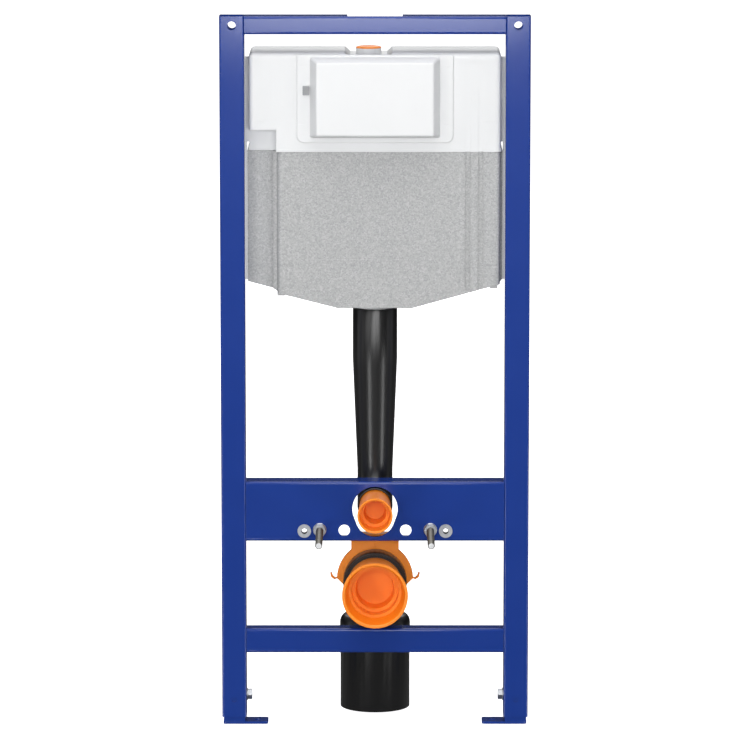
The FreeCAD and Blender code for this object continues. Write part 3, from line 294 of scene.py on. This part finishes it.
# %% [markdown]
# ## Black rubber
# The seal at the mouth of the drain socket is nitrile rubber. It is duller than the pipe and
# its grain is finer and deeper, which is all that sets two black parts apart in a picture.

# %% Material: rubber
RUBBER = moulded(
    "black_nitrile_rubber", "#101011", "#0C0C0D", rough=0.55, grain_mm=0.6, grain=0.25
)

# %% [markdown]
# ## Foamed jacket
# The jacket that keeps condensation off the tank is moulded from foam beads about 2 mm
# wide, paler and darker ones mixed, fused by steam. Noise would blur them. Each bead keeps
# one shade, so a cell pattern gives every cell a random grey, and a second one, of the
# distance to the cell's edge, makes the joints between beads fine dents.


# %% Material: fused foam beads
def fill_ramp(node, stops):
    """Stops of position and colour for a ramp, which starts with one at each end."""
    elements = node.color_ramp.elements
    elements[0].color = stops[0][1]
    elements[1].color = stops[-1][1]
    for position, colour in stops[1:-1]:
        elements.new(position).color = colour


FOAM_BEAD_MM = 2.0
JOINT_WIDTH = 0.12  # as a share of a bead
FOAM_GREYS = (
    (0.0, "#9C9D9E"),
    (0.2, "#A4A5A6"),
    (0.5, "#ABACAC"),
    (0.8, "#B1B2B2"),
    (1.0, "#BABABB"),
)


def foam_beads():
    """Beads of one grey each, with dents between them."""
    material, tree, place = blank("fused_grey_foam_beads")
    cells = {"Vector": place, "Scale": per_mm(FOAM_BEAD_MM)}
    bead = put(tree, "ShaderNodeTexVoronoi", cells)
    chance = put(tree, "ShaderNodeSeparateColor", {"Color": bead.outputs["Color"]})
    ramp = put(tree, "ShaderNodeValToRGB", {"Fac": chance.outputs["Red"]})
    fill_ramp(ramp, [(position, linear(code)) for position, code in FOAM_GREYS])
    joint = put(tree, "ShaderNodeTexVoronoi", cells, feature="DISTANCE_TO_EDGE")
    dent = put(
        tree,
        "ShaderNodeMapRange",
        {"Value": joint.outputs["Distance"], "From Max": JOINT_WIDTH},
    )
    shade(
        tree,
        {
            "Base Color": ramp.outputs["Color"],
            "Roughness": 0.78,
            "IOR": 1.45,
            "Normal": relief(tree, dent.outputs["Result"], strength=0.35, depth_mm=0.3),
        },
    )
    return material


GREY_FOAM = foam_beads()
print("made", GREY_FOAM.name, "in", len(FOAM_GREYS), "greys")

# %% [markdown]
# ## Dressing the CAD nodes
# Where the solid already has the right shape, only its finish changes. The material could
# go on the mesh, but the mesh belongs to the CAD model and stays as it is. So it goes into
# the object's own slots, which lie over those of the mesh.


# %% Finishes for the CAD nodes
def dress(finish, *names):
    """Gives the named nodes a finish."""
    for name in names:
        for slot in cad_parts[name].material_slots:
            slot.link = "OBJECT"
            slot.material = finish
    print(finish.name, "on", ", ".join(names))


dress(BLUE_STEEL, "left_post", "right_post", "top_rail", "mounting_plate", "bottom_rail")
dress(BLUE_STEEL, "left_foot", "right_foot")
dress(ZINC, "left_bush", "right_bush")
dress(WHITE_TANK, "cistern_tank", "service_box", "outlet_collar")
dress(GREY_CLIP, "service_latch")
dress(GREY_FOAM, "cistern_jacket")
dress(ORANGE, "inlet_plug", "flush_plug", "drain_plug", "drain_clamp")
dress(BLACK_PIPE, "flush_pipe", "drain_elbow")
dress(RUBBER, "drain_seal")

# %% [markdown]
# ## Soft edges
# No painted or moulded edge is perfectly sharp: powder builds a radius, and a mould is
# never dead sharp. A narrow rounding along every edge catches a thin line of light, which
# is most of what tells the eye that a thing is real. The solid's faces are joined first,
# so that the rounding can run over them. Both are modifiers, which leave the mesh alone.
# The overlap limit keeps a rounding from crossing itself, and it goes by the shortest edge.
# The rails, the pipe, the clamp and the latch get about the width asked for, the elbow half
# of it. The jacket, the plugs and the feet have some tiny edges, so theirs stays far
# narrower. Without the limit, wide roundings could cross each other at such edges.

# %% A narrow rounding
EDGE_ANGLE = math.radians(40)
JOIN_GAP = 0.01 * MM


def soften(width_mm, *names):
    """Rounds the edges of the named nodes, by the width or as far as short edges allow."""
    for name in names:
        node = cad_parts[name]
        join = node.modifiers.new("join_faces", "WELD")
        join.merge_threshold = JOIN_GAP
        edge = node.modifiers.new("soft_edges", "BEVEL")
        edge.width = width_mm * MM
        edge.segments = 2
        edge.limit_method = "ANGLE"
        edge.angle_limit = EDGE_ANGLE
        edge.use_clamp_overlap = True
        edge.harden_normals = True
        print(f"{name}: edges rounded by up to {width_mm} mm")


soften(0.5, "mounting_plate", "bottom_rail", "top_rail", "left_foot", "right_foot")
soften(1.4, "drain_plug", "flush_plug")
soften(0.8, "drain_clamp", "inlet_plug", "service_latch")
soften(1.0, "flush_pipe", "drain_elbow")
soften(2.5, "cistern_jacket")

# %% [markdown]
# ## Making a piece
# Every new piece is a mesh built point by point. One function does the last steps for all
# of them: it joins points that meet, closes open ends, turns the faces outward, gives the
# finish, and leaves an edge sharp only where the faces meet at more than a given angle.

# %% From mesh to piece
SAME_POINT = 0.001 * MM


def piece(name, mesh, finish, smooth=35):
    """A named object from a bmesh, smooth shaded but for edges over the angle."""
    bmesh.ops.remove_doubles(mesh, verts=mesh.verts, dist=SAME_POINT)
    bmesh.ops.holes_fill(mesh, edges=mesh.edges)
    bmesh.ops.recalc_face_normals(mesh, faces=mesh.faces)
    data = bpy.data.meshes.new(name)
    mesh.to_mesh(data)
    mesh.free()
    data.materials.append(finish)
    made = bpy.data.objects.new(name, data)
    bpy.context.scene.collection.objects.link(made)
    data.shade_smooth()
    data.set_sharp_from_angle(angle=math.radians(smooth))
    return made


# %% [markdown]
# A turned or threaded piece is easiest to build upright, along +Z from the point where it
# is held. A second function then lays it in its direction, moves it to its place, and ties
# it to the body that it moves with.


# %% From the bench to its place
def stand(made, place, direction, body):
    """Turns a piece made along +Z to the direction, moves it to its place, ties it."""
    made.location = place
    made.rotation_euler = Vector(direction).to_track_quat("Z", "Y").to_euler()
    bpy.context.view_layer.update()
    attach(made, body)


# %% [markdown]
# ## Screw threads
# The studs are M12: the thread climbs 1.75 mm each turn and is about 1 mm deep. A thread
# could be a spiral swept along the rod, but its ends are hard to close. Here it is one
# skin instead: rings of points whose rows follow the spiral, with the radius rising and
# falling across the rows, and the ends pressed flat on the rod's end faces.

# %% A threaded rod
THREAD_DEPTH = 0.61  # as a share of the pitch
CREST = 1.25  # above 1 leaves the crest flat
TIGHT = 0.005 * MM


def threaded_rod(radius, pitch, length, chamfer, around=28, rows=6):
    """Rod along +Z from 0 to length with a V thread, its ends chamfered."""
    mesh = bmesh.new()
    depth = THREAD_DEPTH * pitch
    turns = int(length / pitch) + 2
    grid = []
    for row in range(-rows, turns * rows + 1):
        rise = 1 - abs(2 * (row % rows) / rows - 1)
        thread = radius - depth * (1 - min(1, CREST * rise))
        points = []
        for step in range(around):
            height = min(max(pitch * (row / rows + step / around), 0), length)
            reach = min(thread, radius - chamfer + min(height, length - height))
            angle = TURN * step / around
            point = (reach * math.cos(angle), reach * math.sin(angle), height)
            points.append(mesh.verts.new(point))
        grid.append(points)
    for row in range(len(grid) - 1):
        low, high = grid[row], grid[row + 1]
        for step in range(around - 1):
            mesh.faces.new((low[step], low[step + 1], high[step + 1], high[step]))
        if row + rows + 1 < len(grid):
            # The last column meets the first one a full turn higher.
            low_turn, high_turn = grid[row + rows], grid[row + rows + 1]
            mesh.faces.new((low[-1], low_turn[0], high_turn[0], high[-1]))
    bmesh.ops.remove_doubles(mesh, verts=mesh.verts, dist=TIGHT)
    bmesh.ops.dissolve_degenerate(mesh, edges=mesh.edges, dist=TIGHT)
    return mesh


# %% [markdown]
# The two studs carry the whole pan. They are cut from threaded rod, so the thread runs over
# their full length and both ends are sawn: pale and flat. The length and the thickness
# come from the plain rods of the CAD model, which these two replace.

# %% Two studs
THREAD_PITCH = 1.75 * MM
STUD_CHAMFER = 1.5 * MM
FLAT_END = 0.9  # a face that looks along the rod

for side in ("left", "right"):
    low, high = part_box(f"{side}_stud")
    centre = middle(f"{side}_stud")
    radius = (high[0] - low[0]) / 2
    length = high[1] - low[1]
    mesh = threaded_rod(radius, THREAD_PITCH, length, STUD_CHAMFER)
    rod = piece(f"{side}_threaded_stud", mesh, ZINC_THREAD)
    rod.data.materials.append(SAWN_END)
    for face in rod.data.polygons:
        face.material_index = int(abs(face.normal.z) > FLAT_END)
    stand(rod, (centre.x, high[1], centre.z), (0, -1, 0), "frame")
    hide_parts(f"{side}_stud")
    print(rod.name, "is", round(length / MM), "mm long")

# %% [markdown]
# ## Nuts and bolt heads
# A hexagon nut is turned before it is tapped: a cone of 30 degrees takes the corners off,
# which leaves the curved edges that everybody knows. Cutting a hexagon with a cone would
# show them too, but leaves untidy faces. Going round the nut in small steps instead, the
# radius is that of the hexagon or that of the cone, whichever is smaller.


# %% Rings to a skin
def skin(rings):
    """A bmesh from rings of points, each joined to the next one."""
    mesh = bmesh.new()
    rows = [[mesh.verts.new(point) for point in points] for points in rings]
    for row, after in zip(rows, rows[1:]):
        for i in range(len(row)):
            j = (i + 1) % len(row)
            mesh.faces.new((row[i], row[j], after[j], after[i]))
    return mesh


def ring(reach, height, around=72):
    """One ring of points; the reach may be a number or depend on the angle."""
    points = []
    for step in range(around):
        angle = TURN * step / around
        r = reach(angle) if callable(reach) else reach
        points.append((r * math.cos(angle), r * math.sin(angle), height))
    return points


# %% A hexagon with its corners turned off
CONE = math.tan(math.radians(60))  # outward for each step down: 30 degrees to the face
CONE_STEPS = 6


def hex_reach(angle, flats):
    """Distance from the axis to a hexagon's side in the direction of the angle."""
    sector = TURN / 6
    return flats / 2 / math.cos((angle % sector) - sector / 2)


def hexagon_rings(flats, low, high, lower_too=False):
    """Rings up a hexagon from low to high, its upper corners turned off by a cone."""
    drop = (hex_reach(0, flats) - flats / 2) / CONE

    def turned(deep, height):
        return ring(lambda a: min(hex_reach(a, flats), flats / 2 + deep * CONE), height)

    depths = [drop * i / CONE_STEPS for i in range(CONE_STEPS + 1)]
    if lower_too:
        rings = [turned(deep, low + deep) for deep in depths[:-1]]
    else:
        rings = [ring(lambda a: hex_reach(a, flats), low)]
    return rings + [turned(deep, high - deep) for deep in reversed(depths)]


# %% [markdown]
# The nuts that lock the studs have a flange, which spreads the load on the folded plate and
# saves a loose washer. One stands in front of the plate and one behind it. The flange has
# a rounded rim, and the bore is countersunk where the stud comes out.

# %% Flange nuts on the studs
NUT_FLATS = 19.0 * MM
NUT_BORE = 5.4 * MM
FLANGE_HEIGHT = 2.0 * MM


def flange_nut(flats, height, flange, flange_height, bore):
    """Nut along +Z, its flange at 0, with a rounded rim and a countersunk bore."""
    lip = 0.4 * MM
    sink = 0.8 * MM
    fillet = 0.6 * MM
    sides = 0.7 * MM
    rings = [ring(bore, 0), ring(flange - lip, 0), ring(flange, lip)]
    rings += [ring(flange, flange_height - lip), ring(flange - lip, flange_height)]
    rings += [ring(lambda a: hex_reach(a, flats), flange_height + fillet)]
    rings += hexagon_rings(flats, flange_height + sides, height)
    rings += [ring(bore + sink, height), ring(bore, height - sink), ring(bore, 0)]
    return skin(rings)


for side in ("left", "right"):
    for name, sign in ((f"{side}_stud_nut", -1), (f"{side}_stud_back_nut", 1)):
        low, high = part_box(name)
        centre = middle(name)
        seat = high[1] if sign < 0 else low[1]
        flange = (high[0] - low[0]) / 2
        mesh = flange_nut(NUT_FLATS, high[1] - low[1], flange, FLANGE_HEIGHT, NUT_BORE)
        nut = piece(f"{name}_chamfered", mesh, ZINC, smooth=25)
        stand(nut, (centre.x, seat, centre.z), (0, sign, 0), "frame")
        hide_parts(name)
        print(nut.name, "is", round(NUT_FLATS / MM), "mm across its flats")

# %% [markdown]
# ## Foot bolts
# A bolt through the inner side of each post presses on the leg of the foot and holds the
# height that the fitter has set. It has a plain washer, and a head with a shallow dish. It
# could be three pieces, but they never come apart, so one outline is turned for them all.

# %% Bolts at the feet
BOLT_FLATS = 16.0 * MM
BOLT_HEAD = 7.5 * MM
WASHER_HEIGHT = 1.5 * MM
SHANK_RADIUS = 5.0 * MM
DISH_RIM = 0.42  # as a share of the head's width across flats
DISH_FLOOR = 0.38
DISH_DEPTH = 0.5 * MM
TIP = 0.01 * MM  # a ring this small closes an end


def washer_bolt(flats, head, washer, washer_height, shank, shank_length):
    """Bolt along +Z: shank below 0, washer on 0, then the head with its dish."""
    lip = 0.25 * MM
    top = washer_height + head
    floor = top - DISH_DEPTH
    rings = [ring(TIP, -shank_length), ring(shank, -shank_length), ring(shank, 0)]
    rings += [ring(washer - lip, 0), ring(washer, lip), ring(washer, washer_height - lip)]
    rings += [ring(washer - lip, washer_height)]
    rings += hexagon_rings(flats, washer_height, top, lower_too=True)
    rings += [ring(flats * DISH_RIM, top), ring(flats * DISH_FLOOR, floor), ring(TIP, floor)]
    return skin(rings)


for side, sign in (("left", 1), ("right", -1)):
    low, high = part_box(f"{side}_foot_bolt")
    centre = middle(f"{side}_foot_bolt")
    washer = (high[1] - low[1]) / 2
    shank = (high[0] - low[0]) - (WASHER_HEIGHT + BOLT_HEAD)
    mesh = washer_bolt(BOLT_FLATS, BOLT_HEAD, washer, WASHER_HEIGHT, SHANK_RADIUS, shank)
    bolt = piece(f"{side}_foot_bolt_head", mesh, ZINC, smooth=25)
    base = low[0] + shank if sign > 0 else high[0] - shank
    stand(bolt, (base, centre.y, centre.z), (sign, 0, 0), "frame")
    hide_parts(f"{side}_foot_bolt")
    print(bolt.name, "has a shank of", round(shank / MM, 1), "mm")

# %% [markdown]
# ## Threads in the bushes
# The bushes outside the studs are tapped M10. Seen from the front only the first turns
# show, as thin bright rings in a dark hole. A few closed rings with a V section are
# enough, since nobody can follow the spiral into the dark. They line the hole as a thin
# sleeve, so the plain bush of the CAD model stays in use around them.

# %% Threads in the bushes
BUSH_BORE = 4.72 * MM
BUSH_THREAD_DEPTH = 0.55 * MM
BUSH_PITCH = 1.5 * MM
SLEEVE_WALL = 0.3 * MM
BUSH_MARGIN = 0.5 * MM  # left plain at each end


def tapped_bore(radius, depth, pitch, length):
    """Sleeve along +Z from 0, its inside a row of V rings."""
    rings = []
    turns = int(length / pitch)
    for turn in range(turns):
        start = turn * pitch
        rings += [ring(radius, start), ring(radius - depth, start + pitch / 2)]
    end = turns * pitch
    back = radius + SLEEVE_WALL
    rings += [ring(radius, end), ring(back, end), ring(back, 0), ring(radius, 0)]
    return skin(rings)


for side in ("left", "right"):
    low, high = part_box(f"{side}_bush")
    centre = middle(f"{side}_bush")
    length = high[1] - low[1] - 2 * BUSH_MARGIN
    mesh = tapped_bore(BUSH_BORE, BUSH_THREAD_DEPTH, BUSH_PITCH, length)
    # Painted shade: the bore's dark finish darkens the hole as shade would.
    thread = piece(f"{side}_bush_thread", mesh, BORE_PAINTED_SHADE, smooth=20)
    stand(thread, (centre.x, low[1] + BUSH_MARGIN, centre.z), (0, 1, 0), "frame")
    print(thread.name, "has", int(length / BUSH_PITCH), "turns")

# %% [markdown]
# ## Rolled lips on the plugs
# The mouth of each plug ends in a thick round lip, for the thumb that pulls it out. It is
# the brightest line on the orange parts. A rounding on the plug's own edge would be too
# thin for it, so it is a ring of round section that lies in the mouth.


# %% Rolled lips
def rolled_lip(reach, thick, steps=14):
    """Ring around +Z with its outer edge at the reach; thick is the section's radius."""
    rings = []
    for step in range(steps + 1):
        angle = TURN * step / steps
        rings.append(ring(reach - thick + thick * math.cos(angle), thick * math.sin(angle)))
    return skin(rings)


for plug, thick in (("drain_plug", 2.7), ("flush_plug", 1.8)):
    low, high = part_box(plug)
    centre = middle(plug)
    mesh = rolled_lip((high[0] - low[0]) / 2, thick * MM)
    lip = piece(f"{plug}_lip", mesh, ORANGE)
    stand(lip, (centre.x, low[1] + thick * MM, centre.z), (0, -1, 0), "frame")
    print(lip.name, "is", 2 * thick, "mm thick")

# %% [markdown]
# ## Ribs on the latch
# The small grey latch beside the cover has fine grip ribs for a fingertip. A bump in the
# material would be flat when seen from the side, so each rib is a small bar, sunk a little
# into the latch to leave no gap.

# %% Grip ribs
RIBS = 6
RIB_SHARE = 0.45  # rib against rib and gap together
RIB_HEIGHT = 0.8 * MM
RIB_SINK = 0.3 * MM
RIB_MARGIN = 1.2 * MM  # to the latch's sides
FREE_END = 0.5  # of a step, below the first rib and above the last one


def bar(low, high):
    """A box between two corners."""
    mesh = bmesh.new()
    bmesh.ops.create_cube(mesh, size=1)
    for vert in mesh.verts:
        vert.co = vert.co * (high - low) + (high + low) / 2
    return mesh


low, high = (Vector(corner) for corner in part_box("service_latch"))
step = (high.z - low.z) / (RIBS + FREE_END)
for number in range(RIBS):
    start = low.z + step * (number + FREE_END)
    corner = Vector((low.x + RIB_MARGIN, low.y - RIB_HEIGHT, start))
    far = Vector((high.x - RIB_MARGIN, low.y + RIB_SINK, start + step * RIB_SHARE))
    rib = piece(f"latch_rib_{number + 1}", bar(corner, far), GREY_CLIP)
    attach(rib, "frame")
print("ribs on the latch:", RIBS)

# %% [markdown]
# ## Weld beads
# The rails are welded to the posts by a robot, and the coat goes over the weld. A bead is
# a row of overlapping puddles: a half round that swells and thins about every 2.5 mm. A
# smooth rod would look like a gasket, so the radius follows the puddles along the seam.
# The beads lie where the flanges of the rails meet the posts.

# %% Beads along the flanges
BEAD_RADIUS = 1.6 * MM
BEAD_RIPPLE = 2.5 * MM
BEAD_SWELL = 0.16  # as a share of the radius
BEAD_SINK = 0.4 * MM
BEAD_START = 6 * MM
BEAD_SHORTER = 10 * MM  # than the rail is deep
BEAD_END = 1.5  # radii, over which an end is rounded off
BEAD_TIP = 0.02 * MM
RINGS_PER_RIPPLE = 4


def bead(length, radius):
    """A rippled rod along +Z from 0 to length, closed at its ends."""
    rings = []
    steps = int(length / (BEAD_RIPPLE / RINGS_PER_RIPPLE))
    for i in range(steps + 1):
        along = length * i / steps
        swell = BEAD_SWELL * abs(math.sin(math.pi * along / BEAD_RIPPLE))
        near_end = min(along, length - along) / (BEAD_END * radius)
        taper = math.sqrt(max(0.0, 1 - (1 - min(1, near_end)) ** 2))
        reach = max(radius * (1 - BEAD_SWELL + swell) * taper, BEAD_TIP)
        rings.append(ring(reach, along, around=16))
    return skin(rings)


frame_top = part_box("left_post")[1][2]
count = 0
for rail in ("top_rail", "mounting_plate", "bottom_rail"):
    low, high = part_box(rail)
    length = (high[1] - low[1]) - BEAD_SHORTER
    for side, x in (("left", low[0]), ("right", high[0])):
        for level, z in (("lower", low[2] + BEAD_SINK), ("upper", high[2] - BEAD_SINK)):
            if z > frame_top - MM:
                continue  # ground flush at the top of the frame
            mesh = bead(length, BEAD_RADIUS)
            seam = piece(f"{rail}_{side}_{level}_weld", mesh, BLUE_STEEL)
            stand(seam, (x, low[1] + BEAD_START, z), (0, 1, 0), "frame")
            count += 1
print("weld beads:", count)

# %% [markdown]
# ## The studio
# The photograph is a catalogue picture: the frame stands free on white, with no shadow.
# A photographer gets that with paper lit so strongly that it turns pure white. Here the
# paper is a bright room that only the camera can see. It neither lights the frame from
# below nor mirrors itself in the paint, so the lamps alone decide how the frame looks.

# %% White paper all around
PAPER_HALF = 60.0
PAPER_HIGH = 30.0
PAPER_GLOW = 1.2


def backdrop_paper():
    """Paper that glows, so that the picture shows it pure white."""
    material, tree, place = blank("white_backdrop_paper")
    tone = tint(tree, clouds(tree, place, size_mm=400), "#EDEDEE", "#F1F1F1")
    shade(
        tree,
        {
            "Base Color": tone,
            "Roughness": 0.95,
            "Emission Color": tone,
            "Emission Strength": PAPER_GLOW,
        },
    )
    return material


def paper_room(half, high):
    """A room around the frame, its floor at 0, that only the camera sees."""
    mesh = bmesh.new()
    bmesh.ops.create_cube(mesh, size=2)
    for vert in mesh.verts:
        vert.co = (vert.co.x * half, vert.co.y * half, (vert.co.z + 1) * high / 2)
    data = bpy.data.meshes.new("studio_paper")
    mesh.to_mesh(data)
    mesh.free()
    data.materials.append(backdrop_paper())
    room = bpy.data.objects.new("studio_paper", data)
    bpy.context.scene.collection.objects.link(room)
    room.visible_diffuse = False
    room.visible_glossy = False
    room.visible_transmission = False
    room.visible_shadow = False
    print(room.name, "is", 2 * half, "m wide and", high, "m high")


paper_room(PAPER_HALF, PAPER_HIGH)

# %% [markdown]
# The air of the studio gives the light that comes from no lamp. It is dim below, nearly
# black at the horizon and pale overhead. The upper sides of the rails mirror the horizon
# behind them, so they stay deep blue, while the top of the tank, which is matt, takes the
# soft light from above. An even grey would wash both out.

# %% Dark horizon, pale ceiling
AIR_GREYS = (
    (0.0, 0.16),
    (0.33, 0.14),
    (0.42, 0.12),
    (0.49, 0.02),
    (0.61, 0.02),
    (0.78, 0.30),
    (1.0, 0.5),
)


def studio_air():
    """Grey light by height, from straight down at 0 to straight up at 1."""
    world = bpy.data.worlds.new("studio_air")
    bpy.context.scene.world = world
    world.use_nodes = True
    tree = world.node_tree
    tree.nodes.clear()
    upward = put(tree, "ShaderNodeTexCoord").outputs["Generated"]
    height = put(tree, "ShaderNodeSeparateXYZ", {"Vector": upward})
    share = put(
        tree,
        "ShaderNodeMapRange",
        {"Value": height.outputs["Z"], "From Min": -1.0, "From Max": 1.0},
    )
    ramp = put(tree, "ShaderNodeValToRGB", {"Fac": share.outputs["Result"]})
    fill_ramp(ramp, [(position, (grey, grey, grey, 1)) for position, grey in AIR_GREYS])
    air = put(tree, "ShaderNodeBackground", {"Color": ramp.outputs["Color"], "Strength": 1.0})
    put(tree, "ShaderNodeOutputWorld", {"Surface": air.outputs["Background"]})
    print(world.name, "goes from", AIR_GREYS[0][1], "to", AIR_GREYS[-1][1])


studio_air()

# %% [markdown]
# One large softbox behind the camera, higher than the frame, gives the even light of a
# catalogue. The others each have one job. A key on the left shows which way a bend turns.
# Two boxes high up draw the line along the upper edges. A narrow panel close in front is
# there for the top rail and the tops of the posts, which mirror it and pale towards the
# middle. Two low strips put a soft stripe on the pipe and the elbow, two boxes at the
# sides keep the flanks open, and one behind lights the back for other views. Such lamps
# would show in a wide picture, so the camera doesn't see them.


# %% Lamps
def lamp(name, place, target, width, height, power):
    """A rectangular soft lamp that looks at a point, itself unseen."""
    data = bpy.data.lights.new(name, "AREA")
    data.shape = "RECTANGLE"
    data.size = width
    data.size_y = height
    data.energy = power
    made = bpy.data.objects.new(name, data)
    made.location = place
    made.rotation_euler = (Vector(target) - Vector(place)).to_track_quat("-Z", "Y").to_euler()
    made.visible_camera = False
    bpy.context.scene.collection.objects.link(made)
    print(name, "gives", power, "W")


# Name, place, the point it looks at, width and height in metres, power in watts.
lamp("front_softbox", (0, -11.0, 2.6), (0, 0, 2.6), 8.0, 3.6, 550)
lamp("top_softbox", (0, -2.2, 3.4), (0, 0, 0.7), 3.5, 2.2, 24)
lamp("key_softbox", (-5.5, -6.5, 2.2), (0, 0, 0.5), 3.0, 3.0, 80)
lamp("rail_panel", (0, -1.1, 1.115), (0, 0, 1.115), 0.56, 0.14, 2.2)
lamp("overhead_softbox", (0, -0.8, 4.2), (0, 0, 1.0), 3.5, 1.6, 50)
lamp("left_strip", (-1.9, -3.2, -0.75), (0, 0, 0.15), 0.6, 1.2, 25)
lamp("right_strip", (2.6, -2.6, -0.75), (0, 0, 0.15), 0.6, 1.2, 24)
lamp("left_flat", (-4.5, -0.6, 1.0), (0, 0, 0.8), 3.0, 3.0, 28)
lamp("right_flat", (4.5, -0.6, 1.0), (0, 0, 0.8), 3.0, 3.0, 22)
lamp("rear_softbox", (0, 6.0, 3.8), (0, 0, 0.7), 5.0, 2.0, 75)
bpy.context.scene.view_settings.view_transform = "Standard"

# %% [markdown]
# ## The camera
# The lens is long, so the posts look almost parallel, and the camera stands above the
# frame and looks down nine degrees, which is why the plugs and studs seem to droop. A
# short lens close by would show the same height of frame, but bend the posts apart.

# %% Camera
PITCH = math.radians(9.028)
DISTANCE = 8.0
EYE_HEIGHT = 1.85
FRONT_PLANE = -0.02  # the front of the steel, from which the distance counts
LENS_MM = 240.17
SENSOR_MM = 36.0
SEE_AS_FAR_AS = 300

camera_data = bpy.data.cameras.new("catalogue_camera")
camera_data.lens = LENS_MM
camera_data.sensor_width = SENSOR_MM
camera_data.clip_end = SEE_AS_FAR_AS
camera = bpy.data.objects.new("catalogue_camera", camera_data)
camera.location = (0.0, FRONT_PLANE - DISTANCE, EYE_HEIGHT)
camera.rotation_euler = (math.radians(90) - PITCH, 0, 0)
bpy.context.scene.collection.objects.link(camera)
bpy.context.scene.camera = camera
print("camera at", tuple(round(c, 3) for c in camera.location))
